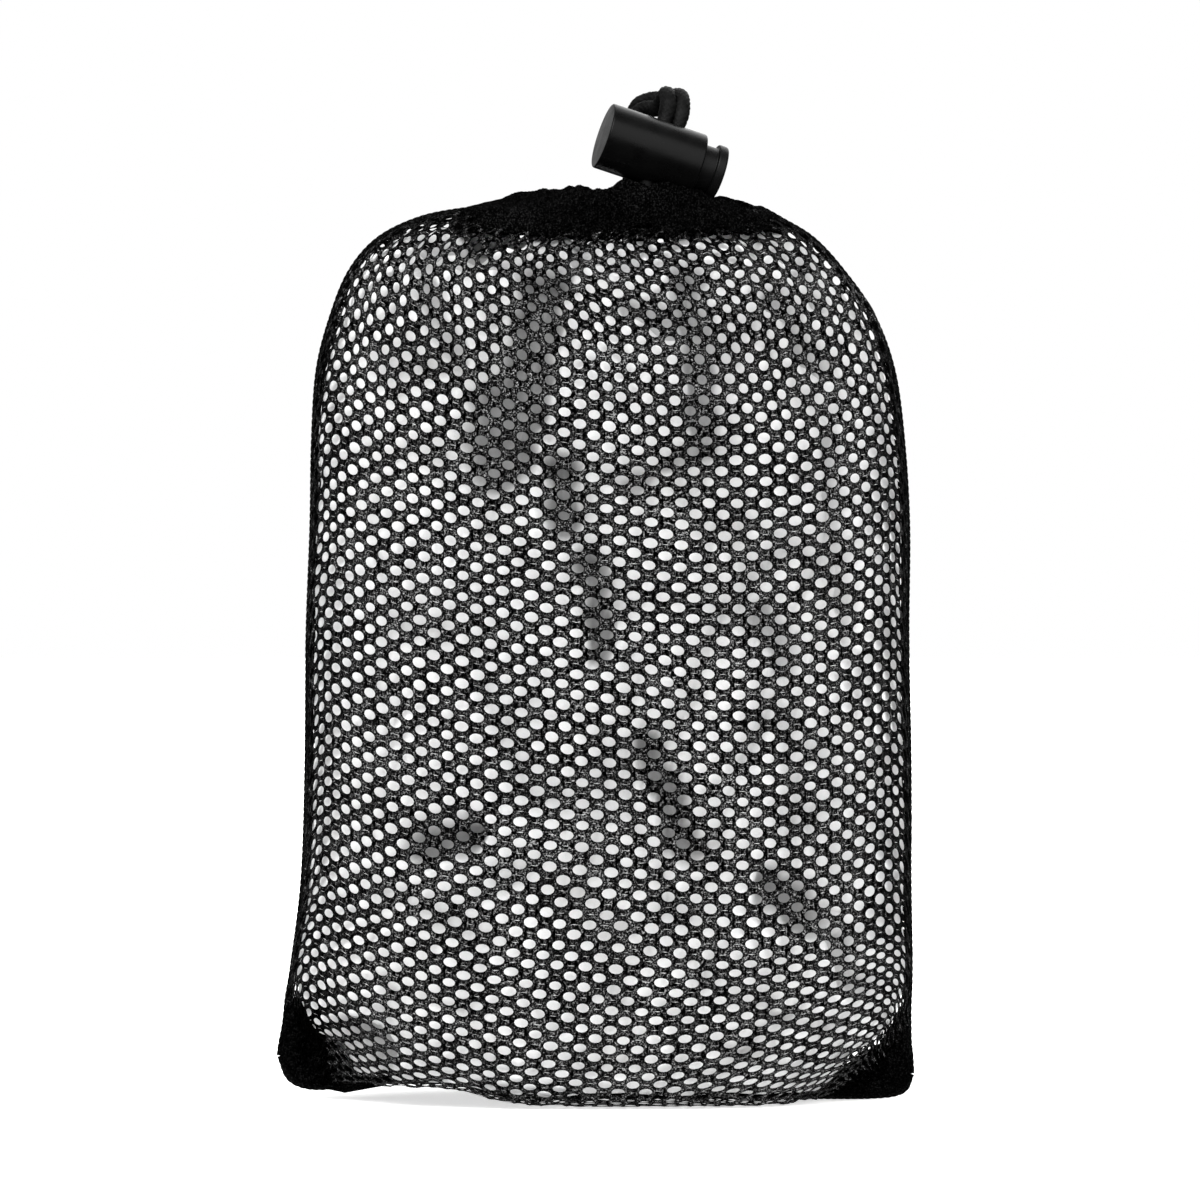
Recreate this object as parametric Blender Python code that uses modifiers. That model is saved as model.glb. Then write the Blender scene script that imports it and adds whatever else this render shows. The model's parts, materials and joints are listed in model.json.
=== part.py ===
"""Mesh ball bag: a filled knitted-net drawstring bag that stands on its bottom seam.

Two net panels are sewn together along the sides and the bottom. A folded hem at the top holds the
drawcord. Both ends of the cord leave the hem through one slit, pass through a spring cord lock,
fold over it and hang down behind the bag, where one knot ties them together.

Frame: +Z up, +X to the right and -Y towards the viewer, with the origin on the floor under the
middle of the bag. Shapes are worked out in millimetres, and Blender gets metres.
"""
import math

import bmesh
import bpy
import numpy as np
from mathutils import Matrix

MM = 0.001
GAP = 0.3                       # space between neighbouring pieces


def unit(vector):
    return vector / np.linalg.norm(vector)


# Bag
BAG_HALF_WIDTH = 81.2           # to the tips of the empty bottom corners
BAG_HALF_DEPTH = 45.5
SHELL = 0.8                     # thickness of the net
SEAM_ALLOWANCE = 2.0            # half the space that each seam takes between the panels
SEAM_RADIUS = 1.2
CORNER_HALF_THICKNESS = 4.0
FILLING_INSET = 3.2
PANEL_COLUMNS = 22

# The panels' hoops from the floor up: height at the sides, height at the middle, left edge,
# right edge, half depth, and the superellipse power of the hoop's outline.
HOOPS = [
    (0.0, 0.0, -58.0, 54.0, 15.0, 2.6),
    (0.0, 0.0, -61.0, 58.0, 27.0, 2.6),
    (2.2, 1.6, -62.0, 59.0, 34.5, 2.6),
    (6.5, 6.0, -64.5, 63.5, 40.0, 2.6),
    (13.0, 13.0, -68.5, 71.0, 43.5, 2.6),
    (22.0, 23.0, -75.0, 77.8, 45.0, 2.5),
    (34.0, 36.0, -77.4, 80.3, 45.4, 2.4),
    (56.0, 58.0, -74.7, 80.0, BAG_HALF_DEPTH, 2.35),
    (85.0, 85.0, -73.7, 80.0, BAG_HALF_DEPTH, 2.3),
    (118.0, 118.0, -73.4, 79.4, 45.3, 2.3),
    (146.0, 146.0, -72.4, 79.6, 44.6, 2.3),
    (168.0, 167.0, -72.0, 78.3, 43.0, 2.25),
    (186.0, 184.5, -70.8, 75.8, 39.8, 2.2),
    (200.0, 196.5, -67.2, 70.6, 35.5, 2.2),
    (211.0, 206.0, -62.6, 63.0, 30.5, 2.15),
    (219.0, 213.0, -55.6, 55.6, 25.0, 2.1),
    (224.0, 217.8, -45.5, 47.5, 20.8, 2.05),
    (226.2, 220.2, -35.0, 43.6, 18.4, 2.0),
    (226.8, 221.0, -26.0, 42.0, 17.2, 2.0),
]
SIDE_SEAM_HOOPS = HOOPS[5:-1]
SIDE_SEAM_START = 4.0           # the side seams start this far above their first hoop
SIDE_SEAM_STEPS = 26
BOTTOM_SEAM_STEPS = 12

# Soft contents: their floor hoop, the panels' hoops that they follow, and their crown
FILLING_COLUMNS = 16
FILLING_FLOOR = (3.0, 3.0, -59.5, 56.5, 32.0, 2.6)
FILLING_HOOPS = HOOPS[3:15]
FILLING_CROWN = [
    (216.6, 213.6, -46.0, 46.0, 20.0, 2.0),
    (217.2, 216.0, -30.0, 36.0, 14.0, 2.0),
    (217.2, 217.2, -12.0, 24.0, 8.5, 2.0),
]

# Empty bottom corners: their outer edges (x, z), and the hoops that their inner edges follow
CORNER_HOOPS = HOOPS[1:6]
CORNER_CLEARANCE = 0.9
CORNER_DROP = 0.7
CORNER_FLOOR = 0.25
CORNER_FOOT = 1.2
CORNER_LEFT = [
    (-78.6, 23.6), (-79.6, 23.6), (-80.4, 18.0), (-BAG_HALF_WIDTH, 11.2), (-77.5, 4.4), (-70.0, 0.6),
]
CORNER_RIGHT = [
    (79.5, 22.6), (80.4, 22.6), (80.7, 12.0), (BAG_HALF_WIDTH, 6.6), (80.1, 3.4), (77.0, 0.6),
]

# Gathered hem, an oval ring whose plane leans down towards the cord lock
HEM_CENTRE_X = 8.0
HEM_HALF_LENGTH = 28.5          # centre line of the hem's tube
HEM_HALF_WIDTH = 12.0
HEM_HEIGHT = 224.6
HEM_LEAN = 1.6
HEM_LEAN_ANGLE = math.radians(50)
HEM_WALL_RADIAL = 4.0
HEM_WALL_UP = 5.0
HOLLOW_RADIAL = 2.7
HOLLOW_UP = 3.8
HEM_POWER = 2.5
HEM_STEPS = 44
HEM_SIDES = 12
SLIT_HALF_LENGTH = 6.4
SLIT_HALF_WIDTH = 2.8
SLIT_DEPTH = 6.0
SLIT_SIDES = 28
STITCH_RADIUS = 0.35
STITCH_STEPS = 56
STITCH_RISE = 1.2               # above the panels' top edge
STRAIGHT_BELOW = 11.2           # straight stretch of cord from the barrel's axis to the slit
# How the cord bends inside the hem: angle on from the slit, and height from the tube's middle
CORD_BEND = [(0.02, 4.0), (0.06, 2.2), (0.14, 0.4), (0.26, -0.8)]
CORD_FLAT_AT = 0.38
CORD_BELOW_CENTRE = 1.2
DRAWCORD_STEPS = 78

# Cord lock, measured from the barrel's closed end along the barrel
CORD_RADIUS = 1.9
STRAND_OFFSET = CORD_RADIUS + GAP / 2
BARREL_LENGTH = 25.4
BARREL_RADIUS = 8.5
BORE_RADIUS = 6.75
END_WALL = 2.0
EDGE_ROUND = 0.6
STRANDS_AT = 16.15
PLUNGER_RADIUS = BORE_RADIUS - GAP
PLUNGER_START = 8.0
NECK_START = 25.0
NECK_RADIUS = 6.1
LIP_START = 29.2
LIP_END = 31.7
LIP_RADIUS = 7.2
BUTTON_TRAVEL = 3.2
SLOT_HALF_WIDTH = CORD_RADIUS + 0.4
SPRING_RADIUS = 4.8
SPRING_WIRE = 0.3
SPRING_TURNS = 3
BARREL_CENTRE = np.array([13.7, -9.2, 241.1])
BARREL_AXIS = unit(np.array([0.934, 0.191, -0.301]))
CORD_LEAN = math.radians(12)
CORD_LEANING = np.array([0.0, math.sin(CORD_LEAN), math.cos(CORD_LEAN)])
CORD_AXIS = unit(CORD_LEANING - CORD_LEANING.dot(BARREL_AXIS) * BARREL_AXIS)

# The free pair of cord ends: the middle line between the two strands after the lock, and the
# directions in which the strands lie beside each other, by their share of the way along it.
FREE_ROUTE = [
    (19.9, -5.2, 250.8),
    (20.2, -3.4, 253.8),
    (19.9, -0.4, 255.9),
    (18.6, 3.0, 255.4),
    (16.2, 5.9, 254.1),
    (13.2, 7.6, 254.4),
    (10.4, 8.9, 252.9),
    (9.0, 10.1, 249.1),
    (8.8, 11.5, 244.3),
    (9.4, 13.6, 239.4),
    (10.2, 16.5, 234.6),
    (10.5, 20.2, 229.4),
    (10.4, 24.6, 223.6),
    (10.2, 29.0, 217.0),
    (9.9, 33.4, 209.6),
    (9.6, 37.6, 201.0),
    (9.3, 41.4, 191.6),
    (9.0, 44.4, 181.6),
    (8.8, 46.9, 173.6),
    (8.7, 48.6, 167.6),
]
BESIDE = [
    (0.0, BARREL_AXIS),
    (0.13, BARREL_AXIS),
    (0.22, np.array([0.1, 1.0, 0.35])),
    (0.30, np.array([0.1, 1.0, 0.35])),
    (0.48, np.array([1.0, 0.2, 0.0])),
    (1.0, np.array([1.0, 0.0, 0.0])),
]
STRAND_STEP = 3.2
KNOT_CENTRE = np.array([8.7, 49.4, 160.6])
KNOT_RADII = (6.2, 5.0, 6.0)
TAIL_LENGTH = 13.0
TAIL_MIDDLE = (2.9, -0.8, -8.0)
TAIL_SPREAD = math.radians(10)

FABRIC = ((0.018, 0.018, 0.02), 0.85, 0.0)
THREAD = ((0.03, 0.03, 0.033), 0.7, 0.0)
CORD = ((0.022, 0.022, 0.024), 0.75, 0.0)
PLASTIC = ((0.028, 0.028, 0.03), 0.35, 0.0)
STEEL = ((0.6, 0.6, 0.62), 0.3, 1.0)
WHITE = ((0.86, 0.86, 0.85), 0.6, 0.0)


def clear_scene():
    for old in list(bpy.data.objects):
        bpy.data.objects.remove(old, do_unlink=True)


def collection(name):
    made = bpy.data.collections.new(name)
    bpy.context.scene.collection.children.link(made)
    return made


def finish_of(name, look):
    colour, roughness, metallic = look
    made = bpy.data.materials.new(name)
    made.use_nodes = True
    shader = made.node_tree.nodes["Principled BSDF"]
    shader.inputs["Base Color"].default_value = (*colour, 1.0)
    shader.inputs["Roughness"].default_value = roughness
    shader.inputs["Metallic"].default_value = metallic
    return made


def add(name, data, look, parent=None):
    """Links a new object for a sub-part, with a material of its own."""
    obj = bpy.data.objects.new(name, data)
    data.materials.append(finish_of(name, look))
    parts.objects.link(obj)
    obj.parent = parent
    return obj


def add_cutter(name, data, target, operation="DIFFERENCE", parent=None):
    """Links a hidden shape and lets it cut, or join, the target."""
    obj = bpy.data.objects.new(name, data)
    helpers.objects.link(obj)
    obj.parent = parent
    obj.hide_render = True
    obj.display_type = "WIRE"
    modifier = target.modifiers.new(name, "BOOLEAN")
    modifier.operation = operation
    modifier.solver = "EXACT"
    modifier.object = obj
    return obj


def mesh_of(name, points, faces, smooth=True):
    data = bpy.data.meshes.new(name)
    data.from_pydata([tuple(p) for p in np.asarray(points) * MM], [], faces)
    if smooth:
        data.shade_smooth()
        data.set_sharp_from_angle(angle=math.radians(50))
    return data


def mesh_from(shape, name):
    """Turns a bmesh into a mesh, and frees it."""
    data = bpy.data.meshes.new(name)
    shape.to_mesh(data)
    shape.free()
    return data


def along(points, count):
    """Reads count + 1 points at even distances along a line of points."""
    points = np.asarray(points, float)
    steps = np.linalg.norm(np.diff(points, axis=0), axis=1)
    run = np.concatenate([[0.0], np.cumsum(steps)])
    where = np.linspace(0.0, run[-1], count + 1)
    return np.stack([np.interp(where, run, points[:, k]) for k in range(3)], axis=1)


def smooth_line(points, each=12):
    """A Catmull-Rom curve through the points."""
    points = np.asarray(points, float)
    ends = [2 * points[0] - points[1], 2 * points[-1] - points[-2]]
    points = np.vstack([ends[0], points, ends[1]])
    line = []
    for a, b, c, d in zip(points, points[1:], points[2:], points[3:]):
        for t in np.arange(each) / each:
            line.append(
                0.5 * (2 * b + (c - a) * t + (2 * a - 5 * b + 4 * c - d) * t**2
                       + (3 * b - 3 * c + d - a) * t**3)
            )
    line.append(points[-2])
    return np.array(line)


def tube(name, points, radius, look, parent=None, cyclic=False, resolution=2):
    """A round cord, wire or seam along points that are given in millimetres."""
    data = bpy.data.curves.new(name, "CURVE")
    data.dimensions = "3D"
    data.bevel_depth = radius * MM
    data.bevel_resolution = resolution
    data.use_fill_caps = True
    spline = data.splines.new("POLY")
    spline.points.add(len(points) - 1)
    for point, at in zip(spline.points, np.asarray(points) * MM):
        point.co = (*at, 1.0)
    spline.use_cyclic_u = cyclic
    return add(name, data, look, parent)


def turned(name, profile, look, parent, steps=36):
    """A turned solid round its own Z axis, from a profile that runs down its outer side."""
    data = bpy.data.meshes.new(name)
    edges = [(k, k + 1) for k in range(len(profile) - 1)]
    data.from_pydata([(r * MM, 0.0, z * MM) for r, z in profile], edges, [])
    obj = add(name, data, look, parent)
    screw = obj.modifiers.new("turn", "SCREW")
    screw.steps = steps
    screw.render_steps = steps
    screw.use_merge_vertices = True
    screw.merge_threshold = 0.00001
    screw.use_smooth_shade = True
    return obj


def hoop(row, gap=SEAM_ALLOWANCE, inset=0.0, count=PANEL_COLUMNS):
    """The front half of one hoop, from the left seam to the right one."""
    side, middle, left, right, depth, power = row
    centre = (left + right) / 2
    half = (right - left) / 2 - inset
    depth = depth - inset
    first = math.asin((gap / depth) ** (power / 2))
    turn = np.linspace(first, math.pi - first, 181)
    across = -np.sign(np.cos(turn)) * np.abs(np.cos(turn)) ** (2 / power)
    out = np.sin(turn) ** (2 / power)
    height = middle + (side - middle) * np.abs(across) ** 2
    return along(np.stack([centre + half * across, -depth * out, height], axis=1), count)


def panel_rows():
    """The front panel's rows of points, from the bottom seam to the hem."""
    _, _, left, right, _, _ = HOOPS[0]
    share = np.linspace(0.0, 1.0, PANEL_COLUMNS + 1)
    seam = np.zeros((PANEL_COLUMNS + 1, 3))
    seam[:, 0] = left + 2 + (right - left - 4) * share
    seam[:, 1] = -SEAM_ALLOWANCE
    return [seam] + [hoop(row) for row in HOOPS]


def add_panel(name, side):
    """One net panel; side is 1 for the front and -1 for the back."""
    rows = panel_rows()
    points = np.vstack(rows) * np.array([1.0, side, 1.0])
    wide = PANEL_COLUMNS + 1
    faces = []
    for v in range(len(rows) - 1):
        for u in range(PANEL_COLUMNS):
            at = v * wide + u
            face = (at, at + 1, at + wide + 1, at + wide)
            faces.append(face[::side])
    panel = add(name, mesh_of(name, points, faces), FABRIC)
    shell = panel.modifiers.new("net", "SOLIDIFY")
    shell.thickness = SHELL * MM
    shell.offset = -1.0
    shell.use_even_offset = True
    return panel


def ring_faces(rings, count):
    """Side faces between rings of count points each, closed by a face at each end."""
    faces = []
    for v in range(rings - 1):
        for u in range(count):
            a = v * count + u
            b = v * count + (u + 1) % count
            faces.append((a, b, b + count, a + count))
    faces.append(tuple(reversed(range(count))))
    faces.append(tuple(range((rings - 1) * count, rings * count)))
    return faces


def add_filling():
    """The soft contents, one closed body just inside the panels."""
    rings = []
    for row in [FILLING_FLOOR, *FILLING_HOOPS, *FILLING_CROWN]:
        front = hoop(row, gap=0.0, inset=FILLING_INSET, count=FILLING_COLUMNS)
        back = front[::-1] * np.array([1.0, -1.0, 1.0])
        rings.append(np.vstack([front[:-1], back[:-1]]))
    faces = ring_faces(len(rings), 2 * FILLING_COLUMNS)
    add("white_filling", mesh_of("white_filling", np.vstack(rings), faces), WHITE)


def add_seams():
    """The overlocked edges, which lie in the space between the two panels."""
    for name, column, inward in (("side_seam_left", 2, 1), ("side_seam_right", 3, -1)):
        path = [(row[column] + inward * SEAM_RADIUS, 0.0, row[0]) for row in SIDE_SEAM_HOOPS]
        path[0] = (path[0][0], 0.0, path[0][2] + SIDE_SEAM_START)
        tube(name, along(smooth_line(path), SIDE_SEAM_STEPS), SEAM_RADIUS, THREAD, resolution=1)
    _, _, left, right, _, _ = CORNER_HOOPS[0]
    path = [(left - 0.5 * SEAM_RADIUS, 0.0, SEAM_RADIUS), (right, 0.0, SEAM_RADIUS)]
    tube("bottom_seam", along(path, BOTTOM_SEAM_STEPS), SEAM_RADIUS, THREAD, resolution=1)


def add_corner(name, outline, column, outward):
    """An empty bunched corner: a flat pad between its outline and the filled part of the bag."""
    inner = [
        (row[column] + outward * CORNER_CLEARANCE, max(row[0] - CORNER_DROP, CORNER_FLOOR))
        for row in CORNER_HOOPS
    ]
    inner[0] = (inner[0][0] + outward * CORNER_FOOT, CORNER_FLOOR)
    points = inner + outline
    data = bpy.data.curves.new(name, "CURVE")
    data.dimensions = "2D"
    data.fill_mode = "BOTH"
    data.extrude = CORNER_HALF_THICKNESS * MM
    spline = data.splines.new("POLY")
    spline.points.add(len(points) - 1)
    for point, (x, z) in zip(spline.points, points):
        point.co = (x * MM, z * MM, 0.0, 1.0)
    spline.use_cyclic_u = True
    corner = add(name, data, FABRIC)
    corner.rotation_euler = (math.pi / 2, 0.0, 0.0)


def hem_frame(turn):
    """Centre of the hem's tube and its outward direction at an angle round the oval."""
    centre = np.array([
        HEM_CENTRE_X + HEM_HALF_LENGTH * math.cos(turn),
        HEM_HALF_WIDTH * math.sin(turn),
        HEM_HEIGHT - HEM_LEAN * math.cos(turn + HEM_LEAN_ANGLE),
    ])
    out = unit(np.array([math.cos(turn) / HEM_HALF_LENGTH, math.sin(turn) / HEM_HALF_WIDTH, 0.0]))
    return centre, out


def hem_ring(name, radial, up):
    """A closed oval ring of superellipse section round the mouth."""
    points = []
    for turn in np.arange(HEM_STEPS) * 2 * math.pi / HEM_STEPS:
        centre, out = hem_frame(turn)
        for angle in np.arange(HEM_SIDES) * 2 * math.pi / HEM_SIDES:
            c, s = math.cos(angle), math.sin(angle)
            wide = math.copysign(abs(c) ** (2 / HEM_POWER), c) * radial
            high = math.copysign(abs(s) ** (2 / HEM_POWER), s) * up
            points.append(centre + out * wide + np.array([0.0, 0.0, high]))
    faces = []
    for v in range(HEM_STEPS):
        for u in range(HEM_SIDES):
            a = v * HEM_SIDES + u
            b = v * HEM_SIDES + (u + 1) % HEM_SIDES
            far = ((v + 1) % HEM_STEPS - v) * HEM_SIDES
            faces.append((a, a + far, b + far, b))
    return mesh_of(name, points, faces)


def add_hem():
    """The channel with its hollow and the cord slit on top of it."""
    channel = add("drawstring_channel", hem_ring("drawstring_channel", HEM_WALL_RADIAL, HEM_WALL_UP), FABRIC)
    add_cutter("channel_hollow", hem_ring("channel_hollow", HOLLOW_RADIAL, HOLLOW_UP), channel)
    slit = bmesh.new()
    bmesh.ops.create_cone(slit, cap_ends=True, segments=SLIT_SIDES, radius1=MM, radius2=MM,
                          depth=SLIT_DEPTH * MM)
    cutter = add_cutter("cord_slit", mesh_from(slit, "cord_slit"), channel)
    hem_top = HEM_HEIGHT + HEM_WALL_UP - HEM_LEAN
    cutter.location = lock_point(STRANDS_AT, (hem_top - BARREL_CENTRE[2]) / CORD_AXIS[2]) * MM
    cutter.rotation_euler = (0.0, 0.0, math.atan2(BARREL_AXIS[1], BARREL_AXIS[0]))
    cutter.scale = (SLIT_HALF_LENGTH, SLIT_HALF_WIDTH, 1.0)


def add_stitching():
    """The stitches that close the channel, round the outside of the hem just above the panels."""
    side, middle, _, _, _, _ = HOOPS[-1]
    stitch = []
    for turn in np.arange(STITCH_STEPS) * 2 * math.pi / STITCH_STEPS:
        centre, out = hem_frame(turn)
        height = middle + (side - middle) * math.cos(turn) ** 2 + STITCH_RISE
        rise = min(abs(height - centre[2]) / HEM_WALL_UP, 1.0)
        wide = HEM_WALL_RADIAL * (1 - rise**HEM_POWER) ** (1 / HEM_POWER)
        reach = max(wide, 0.6 * HEM_WALL_RADIAL) + STITCH_RADIUS + GAP
        x, y, _ = centre + out * reach
        stitch.append((x, y, height))
    tube("channel_stitching", stitch, STITCH_RADIUS, THREAD, cyclic=True, resolution=1)


def lock_point(along_barrel, up_cord):
    """A point by its distance along the barrel and, from the barrel's axis, up the cord."""
    return BARREL_CENTRE + BARREL_AXIS * (along_barrel - BARREL_LENGTH / 2) + CORD_AXIS * up_cord


def into_hem(offset, way):
    """A strand's points from inside the lock down through the slit, and the angle where it lies flat."""
    straight = [lock_point(STRANDS_AT + offset, t) for t in np.linspace(-GAP / 2, -STRAIGHT_BELOW, 5)]
    x, y, _ = straight[-1]
    turn = math.atan2(y / HEM_HALF_WIDTH, (x - HEM_CENTRE_X) / HEM_HALF_LENGTH)
    bend = [hem_frame(turn + way * on)[0] + np.array([0.0, 0.0, up]) for on, up in CORD_BEND]
    return straight + bend, turn + way * CORD_FLAT_AT


def add_drawcord():
    """The cord from inside the lock, down into the hem, once round it and back up."""
    down, first = into_hem(-STRAND_OFFSET, -1)
    up, last = into_hem(STRAND_OFFSET, 1)
    low = np.array([0.0, 0.0, -CORD_BELOW_CENTRE])
    ring = [hem_frame(turn)[0] + low for turn in np.linspace(first, last - 2 * math.pi, 30)]
    route = smooth_line([*down, *ring, *reversed(up)], 8)
    tube("drawcord", along(route, DRAWCORD_STEPS), CORD_RADIUS, CORD)


def strand(sign):
    """One free strand, which stays beside its twin."""
    start = [lock_point(STRANDS_AT, t) for t in (GAP / 2, 2.9, 5.7, 8.5)]
    line = smooth_line([*start, *FREE_ROUTE])
    steps = int(np.linalg.norm(np.diff(line, axis=0), axis=1).sum() / STRAND_STEP)
    line = along(line, steps)
    ahead = np.gradient(line, axis=0)
    shares = [share for share, _ in BESIDE]
    ways = np.array([way for _, way in BESIDE])
    points = []
    for share, at, tangent in zip(np.linspace(0.0, 1.0, steps + 1), line, ahead):
        tangent = unit(tangent)
        way = np.array([np.interp(share, shares, ways[:, k]) for k in range(3)])
        beside = unit(way - way.dot(tangent) * tangent)
        points.append(at + sign * STRAND_OFFSET * beside)
    return points


def add_free_ends():
    """The two strands above the lock, and the knot with its tails behind the bag."""
    tube("cord_end_left", strand(-1), CORD_RADIUS, CORD)
    tube("cord_end_right", strand(1), CORD_RADIUS, CORD)
    ball = bmesh.new()
    bmesh.ops.create_uvsphere(ball, u_segments=20, v_segments=12, radius=MM)
    bmesh.ops.scale(ball, verts=ball.verts, vec=KNOT_RADII)
    data = mesh_from(ball, "cord_knot")
    data.shade_smooth()
    knot = add("cord_knot", data, CORD)
    knot.location = KNOT_CENTRE * MM
    x, y, z = TAIL_MIDDLE
    for side, name in ((-1, "tail_left"), (1, "tail_right")):
        tail = bmesh.new()
        bmesh.ops.create_cone(tail, cap_ends=True, segments=12, radius1=CORD_RADIUS * MM,
                              radius2=CORD_RADIUS * MM, depth=TAIL_LENGTH * MM)
        joined = add_cutter(name, mesh_from(tail, name), knot, "UNION")
        joined.location = (KNOT_CENTRE + np.array([side * x, y, z])) * MM
        joined.rotation_euler = (0.0, -side * TAIL_SPREAD, 0.0)


def add_lock():
    """The cord lock's barrel, plunger and spring, in a frame whose Z axis is the barrel's."""
    frame = bpy.data.objects.new("lock_frame", None)
    parts.objects.link(frame)
    sideways = np.cross(CORD_AXIS, BARREL_AXIS)
    turn = Matrix([sideways, CORD_AXIS, BARREL_AXIS]).transposed().to_4x4()
    frame.matrix_world = Matrix.Translation(lock_point(STRANDS_AT, 0.0) * MM) @ turn

    def z(distance):
        return distance - STRANDS_AT

    barrel = turned("lock_barrel", [
        (0.0, z(END_WALL)),
        (BORE_RADIUS, z(END_WALL)),
        (BORE_RADIUS, z(BARREL_LENGTH)),
        (BARREL_RADIUS - EDGE_ROUND, z(BARREL_LENGTH)),
        (BARREL_RADIUS, z(BARREL_LENGTH - EDGE_ROUND)),
        (BARREL_RADIUS, z(EDGE_ROUND)),
        (BARREL_RADIUS - EDGE_ROUND, z(0.0)),
        (0.0, z(0.0)),
    ], PLASTIC, frame)
    plunger = turned("lock_plunger", [
        (0.0, z(LIP_END)),
        (LIP_RADIUS - EDGE_ROUND, z(LIP_END)),
        (LIP_RADIUS, z(LIP_END - EDGE_ROUND)),
        (LIP_RADIUS, z(LIP_START)),
        (NECK_RADIUS, z(LIP_START)),
        (NECK_RADIUS, z(NECK_START)),
        (PLUNGER_RADIUS, z(NECK_START)),
        (PLUNGER_RADIUS, z(PLUNGER_START)),
        (0.0, z(PLUNGER_START)),
    ], PLASTIC, frame)

    strands_half = STRAND_OFFSET + CORD_RADIUS
    slots = (
        ("barrel_slot", barrel, -strands_half - 2 * GAP, strands_half + GAP),
        ("plunger_slot", plunger, -strands_half - GAP, strands_half + GAP + BUTTON_TRAVEL),
    )
    for name, target, low, high in slots:
        box = bmesh.new()
        bmesh.ops.create_cube(box, size=1.0)
        size = (2 * SLOT_HALF_WIDTH * MM, 3 * BARREL_RADIUS * MM, (high - low) * MM)
        bmesh.ops.scale(box, verts=box.verts, vec=size)
        cutter = add_cutter(name, mesh_from(box, name), target, parent=frame)
        cutter.location = (0.0, 0.0, (low + high) / 2 * MM)

    low = z(END_WALL) + SPRING_WIRE + GAP
    high = z(PLUNGER_START) - SPRING_WIRE - GAP
    points = []
    for share in np.linspace(0.0, 1.0, SPRING_TURNS * 12 + 1):
        turn = share * SPRING_TURNS * 2 * math.pi
        x, y = SPRING_RADIUS * math.cos(turn), SPRING_RADIUS * math.sin(turn)
        points.append((x, y, low + (high - low) * share))
    tube("lock_spring", points, SPRING_WIRE, STEEL, frame, resolution=1)


clear_scene()
parts = collection("mesh_ball_bag")
helpers = collection("cutters")
add_panel("front_panel", 1)
add_panel("back_panel", -1)
add_filling()
add_seams()
add_corner("bottom_corner_left", CORNER_LEFT, 2, -1)
add_corner("bottom_corner_right", CORNER_RIGHT, 3, 1)
add_hem()
add_stitching()
add_drawcord()
add_free_ends()
add_lock()
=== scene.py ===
"""Looks of the filled mesh ball bag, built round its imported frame.

Shapes are worked out in millimetres on the frame's own axes (+Z up, +X right, -Y towards the
viewer), and Blender gets metres. The net is one flat lattice of holes for each panel, which is
laid over the filled bag's surface: u runs across the panel and v up it, from the bottom seam.
"""
import collections
import json
import math

import bpy
import numpy as np
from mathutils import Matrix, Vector, noise


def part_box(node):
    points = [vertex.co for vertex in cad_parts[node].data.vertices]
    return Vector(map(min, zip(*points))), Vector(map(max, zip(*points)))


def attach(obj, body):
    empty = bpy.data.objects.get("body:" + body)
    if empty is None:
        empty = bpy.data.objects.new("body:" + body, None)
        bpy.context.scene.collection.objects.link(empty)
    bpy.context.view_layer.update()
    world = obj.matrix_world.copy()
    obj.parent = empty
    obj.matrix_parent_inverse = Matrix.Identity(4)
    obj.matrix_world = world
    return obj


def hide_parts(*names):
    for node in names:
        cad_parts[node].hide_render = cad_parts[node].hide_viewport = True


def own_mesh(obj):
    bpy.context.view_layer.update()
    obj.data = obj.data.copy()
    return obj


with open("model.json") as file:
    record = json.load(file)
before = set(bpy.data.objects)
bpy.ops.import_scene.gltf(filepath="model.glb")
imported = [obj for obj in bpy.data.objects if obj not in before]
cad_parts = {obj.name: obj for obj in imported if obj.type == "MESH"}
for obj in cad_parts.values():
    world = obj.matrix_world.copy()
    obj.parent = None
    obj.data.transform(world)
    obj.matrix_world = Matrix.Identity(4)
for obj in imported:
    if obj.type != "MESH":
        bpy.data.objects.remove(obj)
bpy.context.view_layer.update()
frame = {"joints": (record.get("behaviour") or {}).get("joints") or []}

MM = 0.001


def unit(vector):
    return np.asarray(vector, float) / np.linalg.norm(vector)


def node_middle(node):
    low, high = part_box(node)
    return np.array((low + high) / 2) / MM


# ---------------- driving sizes
PICTURE_WIDTH = 306.0           # what the camera takes in at the bag, across
CAMERA_DISTANCE = 1600.0
CAMERA_SIDE = 1.1
CAMERA_HEIGHT = 127.3

CORD_RADIUS = 1.9
GAP = 0.3
STRAND_OFFSET = CORD_RADIUS + GAP / 2

joint_axes = {joint["name"]: unit(joint["axis"]) for joint in frame["joints"]}
CORD_AXIS = joint_axes["lock_slide"]
BARREL_AXIS = -joint_axes["button_press"]
SIDEWAYS = np.cross(CORD_AXIS, BARREL_AXIS)
BARREL_CENTRE = node_middle("lock_barrel")
BARREL_LENGTH = 25.4
BARREL_RADIUS = 8.5
LIP_RADIUS = 7.2
LIP_END = 31.7
LOCK_CLEARANCE = 0.4
STRANDS_AT = 16.15
BUTTON_TRAVEL = 3.2


def lock_point(along_barrel, up_cord, side=0.0):
    """A point by its distance from the barrel's closed end, up the cord and sideways."""
    start = BARREL_CENTRE - BARREL_AXIS * BARREL_LENGTH / 2
    return start + BARREL_AXIS * along_barrel + CORD_AXIS * up_cord + SIDEWAYS * side


# ---------------- lines and meshes
def run_of(points):
    """How far along a line each of its points lies."""
    return np.concatenate([[0.0], np.cumsum(np.linalg.norm(np.diff(points, axis=0), axis=1))])


def along(points, count):
    """Reads count + 1 points at even distances along a line of points."""
    points = np.asarray(points, float)
    run = run_of(points)
    where = np.linspace(0.0, run[-1], count + 1)
    return np.stack([np.interp(where, run, points[:, k]) for k in range(points.shape[1])], axis=1)


def length_of(points):
    return float(np.linalg.norm(np.diff(points, axis=0), axis=1).sum())


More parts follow.
